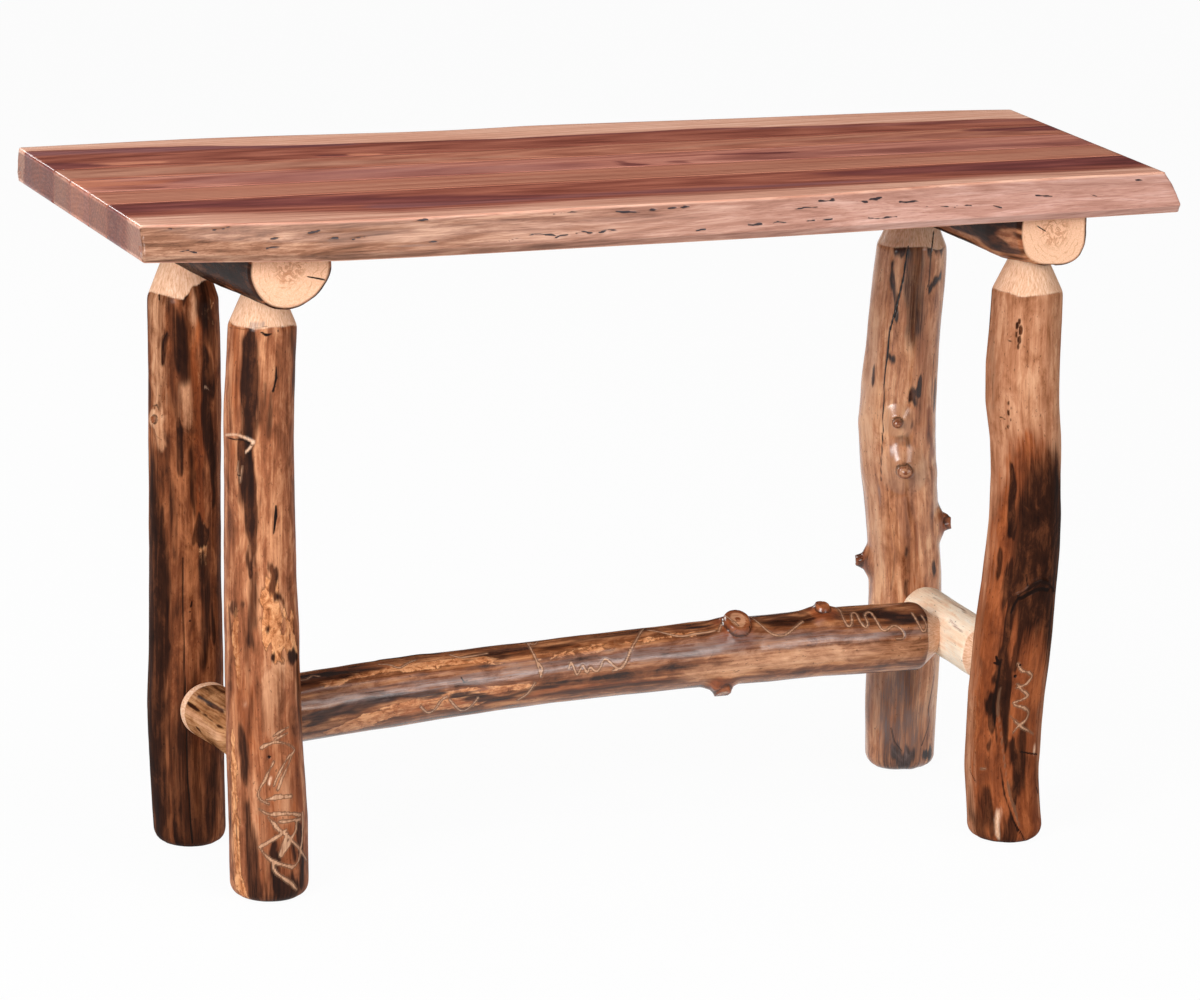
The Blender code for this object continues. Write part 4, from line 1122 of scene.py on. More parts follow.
# %% Marks of the front right leg
FRONT_RIGHT_MARKS = [
    ("ruddy", 0.9, 7, 3, [(1030, 480, 24), (1024, 540, 36), (1016, 620, 44), (1010, 700, 46),
        (1008, 780, 46), (1010, 830, 46)]),
    ("tan", 0.35, 8, 2, [(1026, 375, 12), (1026, 404, 12), (1032, 428, 10)]),
    ("bark", 0.45, 6, 2, [(992, 331, 3), (992, 368, 4), (993, 404, 3)]),
    ("crack", 1, 1.5, 0, [(1007, 340, 0.4), (1011, 342, 0.4)]),
    ("crack", 1, 1.5, 0, [(1000, 417, 0.4), (1005, 419, 0.4)]),
    ("tan", 0.6, 4, 0, [(1055, 307, 3), (1055, 355, 3), (1054, 404, 3)]),
    ("bark", 1, 9, 1, [(1048, 474, 10), (1042, 496, 19), (1039, 520, 24), (1037, 556, 26),
        (1036, 586, 24)]),
    ("bark", 0.6, 12, 2, [(1026, 470, 7), (1026, 491, 7)]),
    ("bark", 1, 9, 1, [(1054, 476, 10), (1056, 510, 20), (1055, 560, 22), (1052, 600, 18),
        (1050, 660, 9)]),
    ("bark", 1, 1.5, 2, [(1012, 468, 2), (1014, 491, 4), (1013, 513, 5), (1012, 532, 4)]),
    ("bark", 0.85, 1.5, 2, [(1025, 550, 5), (1023, 564, 5)]),
    ("bark", 0.8, 1.5, 2, [(1000, 559, 4), (999, 572, 3)]),
    ("golden", 1, 1.5, 2, [(1024, 530, 4), (1025, 541, 4)]),
    ("ruddy", 0.65, 5, 2, [(996, 516, 6), (993, 545, 7), (991, 574, 7)]),
    ("ruddy", 0.5, 5, 2, [(1000, 477, 6), (1003, 501, 5)]),
    ("ruddy", 0.6, 6, 2, [(980, 585, 9), (979, 622, 9), (976, 658, 8), (975, 695, 8)]),
    ("golden", 0.5, 5, 2, [(979, 678, 6), (976, 712, 7), (976, 743, 7), (976, 767, 6)]),
    ("bark", 1, 5, 2, [(1036, 561, 14), (1038, 573, 14)]),
    ("bark", 1, 1.5, 2, [(1050, 597, 4), (1050, 622, 4)]),
    ("bark", 0.85, 3, 2, [(1011, 573, 7), (1009, 597, 5)]),
    ("tan", 0.5, 3, 2, [(1036, 612, 5), (1038, 646, 6), (1037, 678, 7), (1034, 707, 6),
        (1031, 731, 5)], 1.2),
    ("bark", 0.85, 1.5, 2, [(1050, 640, 5), (1048, 700, 4), (1045, 740, 4)]),
    ("bark", 0.9, 3, 3, [(1012, 590, 8), (1010, 625, 7), (1003, 660, 6), (1003, 695, 9), (1006, 722, 7)]),
    ("bark", 0.7, 4, 3, [(1022, 740, 6), (1024, 760, 7), (1018, 785, 8)]),
    ("bark", 0.7, 4, 3, [(985, 800, 8), (990, 825, 9), (1005, 835, 8)]),
    ("bark", 0.75, 1.5, 2, [(1024, 617, 4), (1019, 641, 4), (1014, 663, 4)]),
    ("bark", 0.8, 1.5, 1, [(1033, 607, 2), (1034, 624, 2)]),
    ("bark", 1, 1.5, 1.5, [(1050, 658, 3), (1044, 695, 2), (1042, 719, 2.5)]),
    ("bark", 1, 1.5, 2, [(990, 704, 5), (990, 721, 5)]),
    ("bark", 1, 1.5, 2, [(1004, 697, 5), (1005, 716, 5)]),
    ("bark", 1, 1.5, 2, [(996, 678, 4)]),
    ("bark", 0.9, 1.5, 2, [(987, 746, 3)]),
    ("bark", 0.9, 1.5, 2, [(1011, 743, 4), (1014, 763, 4), (1016, 780, 4), (1015, 794, 4)]),
    ("bark", 0.8, 1.5, 2, [(1007, 731, 4), (1005, 750, 3)]),
    ("golden", 0.5, 1.5, 2, [(1028, 767, 6), (1024, 780, 5)]),
    ("erase bark", 1, 3, 1, [(1028, 800, 6), (1031, 814, 10), (1034, 831, 9)]),
    ("ruddy", 1, 2, 1, [(1025, 795, 8), (1028, 814, 12), (1032, 831, 11), (1033, 839, 8)]),
    ("bark", 1, 1.5, 1, [(1038, 780, 2), (1040, 794, 3), (1041, 806, 2)]),
    ("bark", 0.75, 1.5, 1, [(1011, 823, 4), (1011, 838, 7), (1004, 840, 5)]),
    ("bark", 0.65, 5, 2, [(969, 792, 4), (970, 814, 7), (980, 828, 9), (987, 840, 9)]),
    # painted shade: a dark groove under the lip of bark
    ("crack", 0.9, 1.5, 0, [(1021, 598, 1.8), (1031, 592, 2), (1039, 588, 2),
        (1048, 590, 1.8)], 0.8, True),
    ("crack", 0.85, 1.5, 0, [(1011, 613, 1), (1014, 605, 1.3), (1019, 597, 1.3)], 0.5),
    ("crack", 0.6, 1, 0.5, [(1018, 595, 1.4), (1027, 588, 2), (1038, 580, 2.2), (1045, 581, 2.2),
        (1053, 591, 1.6)], -2, True),
    # painted highlights: two small pale spots on the raised lip
    ("tan", 0.7, 0.4, 0.5, [(1041, 577, 0.6), (1046, 579, 0.8)]),
    ("crack", 1, 1.5, 0, [(1026, 574, 0.5), (1027, 585, 0.5)]),
    # the ridge: the dark line beside it is painted shadow, and the raised pale line on it is partly its tan
    # colour, partly painted highlight
    ("crack", 0.65, 1.2, 0.9, [(1001, 660, 1.2), (995, 690, 1.8), (993, 712, 1.6), (996, 731, 1.2),
        (998, 750, 1.1), (1001, 770, 1.1), (1005, 794, 0.9), (1013, 818, 0.8), (1020, 841, 0.7)], 1),
    ("track", 0.6, 0.9, 0.8, [(1000, 688, 0.2), (998, 702, 0.9), (998, 714, 1.1), (1001, 731, 0.5),
        (1003, 749, 1), (1006, 771, 0.6), (1010, 795, 0.9), (1016, 812, 0.4), (1020, 826, 0.2)], -1.2),
    ("crack", 1, 1.5, 0, [(1014, 822, 0.5), (1022, 842, 0.5)], 0.4),
    ("crack", 1, 1.5, 0, [(1020, 665, 1.2)]),
    ("crack", 1, 1.5, 0, [(996, 657, 1.2), (999, 664, 1.5), (994, 663, 1)], 0.5),
    ("crack", 1, 1.5, 0, [(1021, 752, 0.6), (1028, 753, 0.7), (1037, 754, 0.6)], 0.5),
    ("pale", 0.8, 1.5, 0, [(1034, 749, 2)]),
    ("crack", 1, 1.5, 0, [(1038, 793, 1), (1036, 787, 0.6)]),
    ("pale", 0.75, 1.5, 1, [(999, 812, 2.5), (997, 823, 3.5), (997, 835, 3)]),
    ("crack", 1, 1.5, 0, [(968, 770, 0.4), (975, 782, 0.4)]),
    ("track", 1, 1.5, 0, [(980, 769, 0.6), (985, 769, 0.6)]),
]
STAIN_SPECKS = [
    (1019, 321, 0.8), (1017, 326, 1.1), (1020, 331, 1.4), (1016, 335, 1), (1019, 340, 1.3), (1018, 347, 0.8),
    (1011, 397, 1), (1009, 403, 1.6), (1012, 408, 1.4), (1009, 413, 1.9), (1011, 420, 1.5), (1008, 427, 1),
]
FRONT_RIGHT_TRACKS = [
    [(1018, 663, 0.9), (1021, 671, 1.4), (1029, 672, 1.1), (1034, 675, 1.5), (1029, 683, 0.9),
        (1017, 688, 1.1)],
    [(1017, 684, 0.7), (1024, 692, 1.4), (1031, 695, 1.1), (1024, 699, 0.9), (1013, 703, 1.2)],
    [(1014, 705, 1), (1023, 707, 1.5), (1031, 711, 1.2), (1028, 720, 1), (1019, 725, 1.3),
        (1013, 733, 0.8)],
    [(1010, 716, 0.9), (1017, 723, 1.3), (1023, 728, 1.1), (1031, 731, 1.5), (1034, 734, 0.9)],
]
print("front right leg:", len(FRONT_RIGHT_MARKS), "marks and", len(FRONT_RIGHT_TRACKS), "tracks")

# %% [markdown]
# The crumbled stain high on this leg could be one soft mark, but that would only blur it. Each speck is
# a small mark of its own. The dents are deeper than those of the left legs.

# %% Front right leg
marks = FRONT_RIGHT_MARKS + beetle_tracks(FRONT_RIGHT_TRACKS)
marks += [("bark", 0.8, 0.4, 0.6, [speck]) for speck in STAIN_SPECKS]
leg = make_leg("front_right", 13, marks, 0.4, 1.4)
screw_hole(leg, "rung_screw_front_right", -math.pi / 2)
skin_log(leg, honey)

# %% [markdown]
# ## The back right leg
# The knottiest log. Two knots look at the camera and two twig stubs stick out at the sides, where the
# solid model has them. They could be separate pieces, but a knot grows out of its log without a seam,
# so the skin itself swells, and the sawn tip is part of it.

# %% Marks of the back right leg
BACK_RIGHT_MARKS = [
    ("bark", 0.65, 6, 2.5, [(915, 250, 14), (916, 278, 13), (915, 303, 12), (914, 327, 9)]),
    ("tan", 0.75, 8, 3, [(878, 270, 6), (873, 320, 9), (866, 400, 12), (868, 480, 12), (878, 545, 9)]),
    ("ruddy", 0.5, 7, 3, [(922, 330, 6), (926, 380, 8), (922, 430, 6)]),
    ("ruddy", 0.45, 5, 3, [(902, 480, 4), (908, 530, 5), (912, 590, 5)]),
    ("bark", 1, 1.5, 1, [(895, 248, 3), (902, 250, 4)]),
    ("bark", 0.8, 1.5, 2, [(931, 249, 6), (941, 247, 4)]),
    ("bark", 1, 1.5, 1.5, [(892, 264, 2), (892, 278, 3), (894, 298, 2), (895, 315, 2)]),
    ("bark", 1, 1.5, 1, [(889, 356, 2.5), (893, 360, 3)]),
    ("bark", 1, 1.5, 1, [(873, 371, 1.5), (873, 380, 2.5)]),
    ("bark", 1, 1.5, 1, [(941, 276, 2), (935, 282, 3), (931, 290, 1)]),
    ("bark", 1, 1.5, 2, [(920, 385, 3), (914, 397, 3), (916, 405, 2)]),
    ("bark", 0.8, 1.5, 1, [(912, 424, 2.5)]),
    ("ruddy", 0.75, 1.5, 1.5, [(929, 412, 3.5), (929, 431, 4), (933, 451, 3)]),
    ("bark", 0.7, 1.5, 1, [(935, 383, 1.5), (934, 407, 1.5)]),
    ("bark", 0.5, 4, 1.5, [(900, 440, 5), (908, 445, 5)]),
    ("ruddy", 0.6, 1.5, 1, [(916, 526, 2.5), (917, 555, 3)]),
    ("bark", 0.6, 1.5, 1, [(926, 553, 2)]),
    ("bark", 0.6, 1.5, 1, [(893, 533, 1.5), (894, 555, 1.5)]),
    ("stain", 0.5, 1.5, 0, [(877, 490, 2), (878, 504, 1)]),
    # painted shade: a faint grey line at the foot of the cone
    ("stain", 0.25, 2, 0, [(882, 241, 2), (911, 241, 2)]),
    ("bark", 1, 1.5, 1, [(940, 504, 2), (941, 516, 3)]),
    ("crack", 1, 0.8, 0, [(908, 247, 0.8), (905, 264, 0.9), (903, 278, 1.1), (897, 303, 1.1),
        (889, 332, 1), (887, 354, 0.9), (884, 375, 0.7), (882, 402, 0.6), (881, 431, 0.6),
        (879, 465, 0.5), (878, 482, 0.4)], 1.2),
    ("crack", 1, 0.8, 0, [(935, 232, 0.6), (933, 252, 0.7), (931, 281, 0.6), (928, 290, 0.3)], 0.6),
    ("crack", 0.8, 1.5, 0, [(935, 354, 0.4), (933, 378, 0.5), (932, 407, 0.5)]),
    ("ruddy", 0.4, 8, 3, [(905, 680, 14), (902, 720, 26), (904, 765, 30)]),
    ("bark", 0.52, 6, 3, [(906, 686, 16), (902, 715, 26), (904, 750, 28)]),
    ("stain", 0.35, 10, 2, [(881, 686, 10), (906, 686, 14), (906, 715, 16), (886, 725, 12),
        (925, 715, 10), (906, 746, 16)]),
    ("bark", 0.8, 1.5, 0, [(907, 550, 1.5), (906, 555, 1.5)]),
    ("bark", 0.8, 1.5, 1, [(933, 567, 2.5), (934, 570, 2)]),
    ("ruddy", 0.6, 1.5, 1, [(917, 555, 2), (916, 574, 2), (917, 591, 2)]),
    ("bark", 0.5, 1.5, 0, [(894, 555, 1), (891, 589, 1)]),
    ("bark", 0.55, 1.5, 1, [(906, 584, 2), (906, 593, 1.5)]),
    ("crack", 0.8, 1.5, 0, [(891, 728, 0.6), (894, 742, 0.7), (902, 752, 0.6)]),
    ("crack", 0.8, 1.5, 0, [(933, 674, 0.5), (930, 695, 0.7), (928, 710, 0.6), (930, 722, 0.5),
        (923, 746, 0.8)]),
    ("bark", 1, 3, 2, [(895, 755, 5), (903, 763, 7), (913, 755, 6), (906, 750, 3)]),
    ("bark", 1, 1.5, 1.5, [(925, 754, 3), (930, 755, 3)]),
    ("ruddy", 0.5, 1.5, 1.5, [(872, 686, 3), (872, 725, 4)]),
    ("bark", 0.45, 1.5, 2, [(886, 686, 2), (885, 710, 3)]),
]
print("back right leg:", len(BACK_RIGHT_MARKS), "marks")

# %% [markdown]
# A knot is placed by its turn round the leg and its height, not by the picture, because two of them
# have to meet the stubs of the solid. The two that face the camera are bare cones, with a skirt as tan
# as their face.

# %% Back right leg
# turn in degrees, place up the leg, radius at root and tip, length, skirt and face
LEG_KNOBS = [
    (-21, 0.292, 0.014, 0.007, 0.014, "ruddy", "tan"),
    (159, 0.244, 0.012, 0.006, 0.015, "ruddy", "tan"),
    (-107, 0.366, 0.021, 0.0066, 0.026, "tan", "tan"),
    (-114, 0.422, 0.014, 0.0046, 0.018, "tan", "tan"),
]

leg = make_leg("back_right", 14, BACK_RIGHT_MARKS, 0.3, 2.0)
for degrees, place, root, tip, out, skirt, face in LEG_KNOBS:
    knob(leg, math.radians(degrees), place, root, tip, out, skirt, face, skirt == face)
screw_hole(leg, "rung_screw_back_right", math.pi / 2)
skin_log(leg, tawny)

# %% [markdown]
# ## The stretcher
# A bowed log, dark on its upper side, with a tan belly, a sawn-off branch on top and beetle tracks all
# along. Its sheen has two causes: a grey band of painted sheen along it, and varnish that mirrors the
# lamp beside the camera.

# %% Marks of the stretcher
STRETCHER_MARKS = [
    ("tan", 0.62, 6, 3, [(690, 672, 5), (760, 660, 9), (840, 652, 10), (915, 648, 12)]),
    ("golden", 0.95, 4, 3, [(330, 682, 4), (380, 670, 6), (430, 664, 7), (480, 659, 6)]),
    ("tan", 0.4, 5, 3, [(340, 680, 4), (430, 664, 6), (500, 654, 5)]),
    ("ruddy", 0.7, 4, 3, [(540, 692, 5), (600, 686, 6), (660, 680, 5)]),
    ("golden", 0.7, 4, 3, [(550, 656, 4), (600, 648, 5), (640, 641, 4), (690, 634, 3)]),
    ("ruddy", 0.7, 4, 3, [(302, 682, 7), (340, 672, 6), (380, 665, 5)]),
    ("ruddy", 0.6, 4, 3, [(400, 712, 6), (450, 703, 6), (500, 695, 5)]),
    ("bark", 0.85, 4, 3, [(300, 683, 7), (320, 677, 6), (350, 673, 4), (375, 668, 3)]),
    ("bark", 0.85, 4, 3, [(470, 656, 3), (500, 652, 6), (525, 648, 5)]),
    ("bark", 0.7, 4, 3, [(545, 648, 3), (590, 638, 3), (640, 632, 3)]),
    ("bark", 0.8, 4, 3, [(690, 626, 3), (720, 626, 3)]),
    ("bark", 0.9, 4, 3, [(750, 622, 3), (785, 620, 6), (815, 616, 5)]),
    ("bark", 0.95, 4, 3, [(838, 612, 6), (865, 612, 8), (895, 616, 8), (915, 618, 6)]),
    ("bark", 1, 3, 3, [(312, 724, 4), (330, 714, 6), (350, 706, 6), (375, 700, 5), (400, 695, 4),
        (440, 692, 2)]),
    ("bark", 0.85, 2, 2, [(455, 696, 2), (500, 698, 2.5), (540, 688, 2.5), (565, 682, 2)]),
    ("bark", 0.6, 4, 3, [(550, 694, 4), (610, 688, 5), (670, 682, 3)]),
    # painted sheen: a grey band along the middle of the log, laid in the stain layer
    ("stain", 0.5, 8, 2, [(330, 700, 5), (400, 687, 7), (480, 678, 7), (560, 666, 7), (640, 656, 7),
        (720, 645, 7), (800, 638, 5), (880, 634, 4), (915, 633, 4)]),
    ("golden", 1, 2, 2.5, [(342, 730, 7), (370, 719, 7), (400, 710, 8), (430, 702, 8), (470, 694, 6),
        (510, 689, 4), (530, 687, 3)]),
    ("golden", 1, 2, 2, [(440, 706, 6), (472, 703, 6)]),
    ("bark", 1, 2, 0, [(381, 660, 1), (400, 658, 1.5), (416, 654, 2), (435, 654, 1.5)], -1),
    ("crack", 1, 1.5, 0, [(461, 677, 0.5), (464, 682, 0.6), (468, 681, 0.4)]),
    ("crack", 1, 1.5, 0, [(747, 632, 0.8)]),
    ("crack", 1, 1.5, 0, [(813, 663, 0.7)]),
    ("crack", 0.6, 1.5, 0, [(708, 660, 0.5), (714, 652, 0.4)]),
    ("crack", 0.6, 1.5, 0, [(660, 649, 0.4), (670, 650, 0.4)]),
]
STRETCHER_TRACKS = [
    [(301, 680), (308, 679), (312, 675), (319, 676)],
    [(379, 664), (390, 664), (399, 669), (407, 663), (416, 659)],
    [(450, 654), (458, 657), (470, 656), (487, 653)],
    [(526, 641), (530, 648), (535, 656), (538, 664), (541, 674)],
    [(526, 641), (534, 646), (538, 639)],
    [(538, 662), (543, 668), (541, 675)],
    [(569, 668), (571, 661), (574, 668), (577, 676), (581, 668), (583, 664), (587, 675), (590, 665),
        (594, 671), (599, 671), (604, 657), (612, 664), (618, 669), (624, 667), (630, 650)],
    [(645, 626), (638, 637), (632, 646), (626, 660), (620, 667), (613, 669)],
    [(648, 629), (665, 633), (680, 637), (698, 633), (715, 632)],
    [(718, 633), (722, 624), (728, 626), (735, 631)],
    [(750, 618), (758, 624), (766, 630), (774, 636), (785, 637), (793, 630), (803, 621)],
    [(835, 606), (841, 613), (844, 620), (849, 629), (853, 624), (851, 613), (856, 612), (860, 622),
        (866, 630), (869, 625), (864, 615), (870, 611), (876, 620), (882, 632), (888, 632), (893, 626),
        (900, 628), (905, 636), (904, 641), (897, 641)],
    [(912, 612), (918, 622), (924, 635), (928, 626), (922, 615)],
    [(421, 707), (428, 714), (435, 710), (441, 700), (447, 697)],
    [(450, 700), (455, 706), (462, 712), (470, 708), (478, 698)],
    [(518, 700), (528, 694), (535, 684)],
]
print("stretcher:", len(STRETCHER_MARKS), "marks and", len(STRETCHER_TRACKS), "tracks")

# %% [markdown]
# The tracks are all of one width, so only their spots are listed. They are dug, not just painted,
# because a groove catches the light on one rim. The knots are placed as in the solid model: by their
# distance from the left rung, and by a turn that counts from straight up towards the front.

# %% Stretcher
STRETCHER_COLUMNS = 152
TRACK_HALF = 1.2
# distance from the left rung, turn in degrees, radius at root and tip, length and face
STRETCHER_KNOBS = [
    (0.600, 30, 0.020, 0.014, 0.0110, "tan"),
    (0.711, 10, 0.015, 0.008, 0.009, "ruddy"),
    (0.584, 150, 0.013, 0.009, 0.011, "tan"),
]

log = Log("stretcher", LENGTHWAYS, STRETCHER_COLUMNS, 21)
weather(log, 0.4)
bare_cone(log, shoulder_of(log))
bare_cone(log, shoulder_of(log, False), False)
tracks = [[(column, row, TRACK_HALF) for column, row in trail] for trail in STRETCHER_TRACKS]
mark_all(log, STRETCHER_MARKS + beetle_tracks(tracks, 1.0, 0.0, 0.45))
left_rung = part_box("rung_left")
rung_axis = (left_rung[0].x + left_rung[1].x) / 2
for distance, degrees, root, tip, out, face in STRETCHER_KNOBS:
    knob(log, math.radians(90 + degrees), rung_axis + distance, root, tip, out, "ruddy", face)
skin_log(log, umber)
print("stretcher radius", round(log.typical, 4), "tracks", len(STRETCHER_TRACKS))

# %% [markdown]
# ## The rungs
# Two short logs between the legs of each end. The right one is freshly peeled and cream-coloured with
# a few brown streaks, the left one browner. Pale cones show beside the legs. Each could have a cell of
# its own, but they differ only in finish, bark and marks, so one loop makes both.

# %% Rungs
RUNG_COLUMNS = 128
RUNG_MARKS = {
    "left": [
        ("tan", 0.6, 2, 2, [(190, 712, 4), (222, 735, 5)]),
        ("bark", 0.9, 1, 2, [(192, 706, 1.2), (222, 727, 1.6)]),
        ("bark", 0.8, 1, 2, [(200, 697, 1), (222, 711, 1.4)]),
        ("bark", 0.9, 1, 2, [(196, 726, 1.2), (222, 746, 1.6)]),
    ],
    "right": [
        ("ruddy", 0.5, 1, 1.5, [(950, 602, 1.4), (962, 609, 2.2), (971, 616, 1.2)]),
        ("bark", 0.6, 0.6, 1, [(953, 605, 0.7), (961, 610, 1.2), (968, 615, 0.6)]),
        ("ruddy", 0.5, 0.8, 1, [(950, 620, 0.9), (956, 626, 1.5), (962, 631, 0.8)]),
        ("ruddy", 0.4, 0.8, 1, [(934, 597, 0.8), (942, 602, 1.3)]),
    ],
}
# finish, share of bark on the far side, and how far the bare wood runs past the back cone
RUNGS = {"left": (fallow, 0.15, 0.012), "right": (cream, -0.4, 0.0)}
for number, (side, (material, bark_share, past_cone)) in enumerate(RUNGS.items()):
    log = Log("rung_" + side, crosswise("rung_" + side), RUNG_COLUMNS, 31 + number)
    weather(log, bark_share)
    bare_cone(log, shoulder_of(log) - past_cone)
    if side == "right":
        bare_cone(log, shoulder_of(log, False), False)
    mark_all(log, RUNG_MARKS[side])
    skin_log(log, material)
    print("rung", side, "radius", round(log.typical, 4))

# %% [markdown]
# ## The bolsters
# Half-round cross logs, planed flat on top so that the boards lie on them. Their sawn front ends face
# the camera: pale wood, growth rings round the pith, and a drying crack or two. A Boolean cut would break
# up the grid, so the round skin is pressed down to the flat. The right log is squarer than a circle.
# Below, each of the six screws that hold the top is sunk in a hole.

# %% Bolsters
BOLSTER_COLUMNS = 208
SINK_HALF = 6.5
SQUARENESS = 2.7
# turn, where it starts and stops as a share of the radius, and width in millimetres
END_CRACKS = {"left": [(1.95, 0.45, 0.98, 1.1)], "right": [(-1.13, 0.25, 0.55, 1.3)]}
for number, side in enumerate(("left", "right")):
    ways = crosswise("bolster_" + side)
    log = Log("bolster_" + side, ways, BOLSTER_COLUMNS, 41 + number, under_only=True)
    weather(log, 0.6)
    if side == "right":
        sides = np.abs(np.cos(log.turns)) ** SQUARENESS + np.abs(np.sin(log.turns)) ** SQUARENESS
        square = sides ** (-1 / SQUARENESS)
        log.height += log.radius[:, None] * (square - 1.0)
    streaks = 0.75 * log.wander(60, 9, 14) + 0.5 * log.wander(18, 3, 15)
    lay(log, "bark", 0.95 * ease(streaks, -1.1, 0.2))
    for place in ("front", "centre", "back"):
        low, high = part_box(f"top_screw_{side}_{place}")
        middle = log.ways @ np.array((low + high) / 2)
        trace(log, "crack", [(math.pi, middle[0], SINK_HALF)], soft=1.0, strength=0.8, depth=6.0)
    skin_log(log, russet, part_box(log.node)[1].z, END_CRACKS[side])
    print("bolster", side, "radius", round(log.typical, 4))

# %% [markdown]
# ## The boards of the top
# Five boards are glued edge to edge. The two outer ones keep the tree's own edge, bark gone, and a band
# of pale sapwood beside it. Each board is a ring of points, swept from end to end: over the top, down
# the front, along the underside and up the back. The shape of the live edge is measured on the solid
# at every step; then it gets the small swellings and pits that a saw never touched. A bevelled box would
# do for the three inner boards, but not for a live edge, so all five are made alike.

# %% Edges of a board
LIVE_LEVELS = 46
SAWN_LEVELS = 5


def edge_at(board, x, z, side):
    x = min(max(x, board.low.x + 0.0004), board.high.x - 0.0004)
    return board.tree.ray_cast(Vector((x, side, z)), Vector((0, -side, 0)))[0].y


def measure_edges(board, step_along):
    """The front and back edge as the solid has them, and swellings for a live one."""
    drop = 0.0012 if board.live else 0.0002
    board.levels = {}
    board.sides = {}
    for side in (-1, 1):
        count = LIVE_LEVELS if side == board.live else SAWN_LEVELS
        board.levels[side] = np.linspace(board.high.z - drop, board.low.z + drop, count)
        line = np.array([[edge_at(board, x, z, side) for z in board.levels[side]] for x in board.x])
        if side == board.live:
            line = np.column_stack([blur_line(column, 0.010 / step_along) for column in line.T])
        board.sides[side] = line
    if board.live:
        shape = board.sides[board.live].shape
        slow = wander(shape, (0.055 / step_along, 7), board.seed * 100 + 1)
        quick = wander(shape, (0.020 / step_along, 2.6), board.seed * 100 + 2)
        window = np.sin(np.linspace(0.12, 0.93, shape[1]) * math.pi)[None, :]
        calm = 1.0 - 0.6 * ease(board.x, -0.15, 0.35)[:, None]
        board.swell = window * calm * (0.0010 * slow + 0.0003 * quick) - 0.0006


print("levels of a live edge:", LIVE_LEVELS, "and of a sawn one:", SAWN_LEVELS)

# %% [markdown]
# Where the top turns into a live edge, a sharp corner would look cut from paper. Real ones are sanded,
# so the face stops a little short of the edge. All points are kept inside the box of the solid table.

# %% Points of a board
ARRIS = 0.0008
UNDER_COLUMNS = 12


def place_points(board):
    """Places of all grid points: over the top, down the front, below, and up the back."""
    back = board.sides[1].copy()
    front = board.sides[-1].copy()
    if board.live == 1:
        back += board.swell - board.inset[:, None]
    if board.live == -1:
        front -= board.swell - board.inset[:, None]
    top_back = back[:, :1] - (ARRIS if board.live == 1 else 0.0)
    top_front = front[:, :1] + (ARRIS if board.live == -1 else 0.0)
    under = np.linspace(0.0, 1.0, UNDER_COLUMNS)[None, :]
    rows = len(board.x)
    y = np.concatenate((
        top_back + (top_front - top_back) * board.shares[None, :],
        front,
        front[:, -1:] + (back[:, -1:] - front[:, -1:]) * under,
        back[:, ::-1],
    ), axis=1)
    z = np.concatenate((
        np.full((rows, board.counts[0]), board.high.z),
        np.repeat(board.levels[-1][None, :], rows, axis=0),
        np.full((rows, UNDER_COLUMNS), board.low.z),
        np.repeat(board.levels[1][None, ::-1], rows, axis=0),
    ), axis=1)
    board.y = np.clip(y, cad_low.y + 0.0002, cad_high.y - 0.0002)
    board.z = board.middle + (z - board.middle) * board.squeeze[:, None]
    board.across = np.repeat(board.x[:, None], board.y.shape[1], axis=1)


print("points across the underside:", UNDER_COLUMNS)

# %% [markdown]
# A board is put together from these. Its rows lie closer along a live edge, and three more at each end
# round the sawn corners off. A Bevel modifier would round them too, but it would mix up the grid.

# %% Board skins
BOARD_LAYERS = ("sap", "dark", "mauve", "warm", "pale", "edge", "pit", "end")
END_EASE = 0.003
LIVE_STEP = 0.0014
SAWN_STEP = 0.005
TOP_STEP = 0.0034


class Board:
    """A skin over one board. live is -1 or 1 for a natural front or back edge, 0 for none."""

    def __init__(self, node, live, seed):
        self.node = node
        self.live = live
        self.seed = seed
        self.tree = solid_tree(node)[0]
        self.low, self.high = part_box(node)
        self.middle = (self.high.z + self.low.z) / 2
        step_along = LIVE_STEP if live else SAWN_STEP
        inner = np.arange(self.low.x + END_EASE, self.high.x - END_EASE + 1e-6, step_along)
        ends = np.array([0.0, 0.0006, 0.0015])
        self.x = np.concatenate((self.low.x + ends, inner, self.high.x - ends[::-1]))
        measure_edges(self, step_along)
        width = self.sides[1].mean() - self.sides[-1].mean()
        self.shares = np.linspace(0.0, 1.0, max(10, int(width / TOP_STEP)))
        self.counts = (len(self.shares), len(self.levels[-1]), UNDER_COLUMNS, len(self.levels[1]))
        self.shape = (len(self.x), sum(self.counts))
        nearest = np.minimum(np.minimum(self.x - self.low.x, self.high.x - self.x), END_EASE)
        self.inset = END_EASE - np.sqrt(np.maximum(END_EASE**2 - (END_EASE - nearest) ** 2, 0.0))
        half = (self.high.z - self.low.z) / 2
        self.squeeze = (half - self.inset) / half
        place_points(self)
        self.layers = {name: np.zeros(self.shape) for name in BOARD_LAYERS}
        self.fray = wander(self.shape, (0.03 / step_along, 1.0), seed * 100 + 3)


print("layers of a board:", ", ".join(BOARD_LAYERS))

# %% [markdown]
# ## Marks on a board
# Boards are marked like logs, but flat: a spot is x, y and a half width, all in millimetres on the
# table. Distances along the board count less, so marks grow long. Sapwood is all that lies outside a
# border. The pits of the live edge are given where the picture shows them, and dug into the skin.

# %% Sapwood, streaks and pits
STREAK_SQUASH = 0.4
PIT_SQUASH = 0.7
PIT_SCALE = 0.3
PIT_DEPTH = 0.0012


def mark_board(board, marks):
    """Marks as layer, strength, softness, fray and spots."""
    for layer, strength, soft, fray, spots in marks:
        trail = [(x / 1000 * STREAK_SQUASH, y / 1000, half / 1000) for x, y, half in spots]
        gap = trail_gap(board.across * STREAK_SQUASH, board.y, trail) + fray / 1000 * board.fray
        lay(board, layer, (1.0 - ease(gap, -soft / 2000, soft / 1000)) * strength)


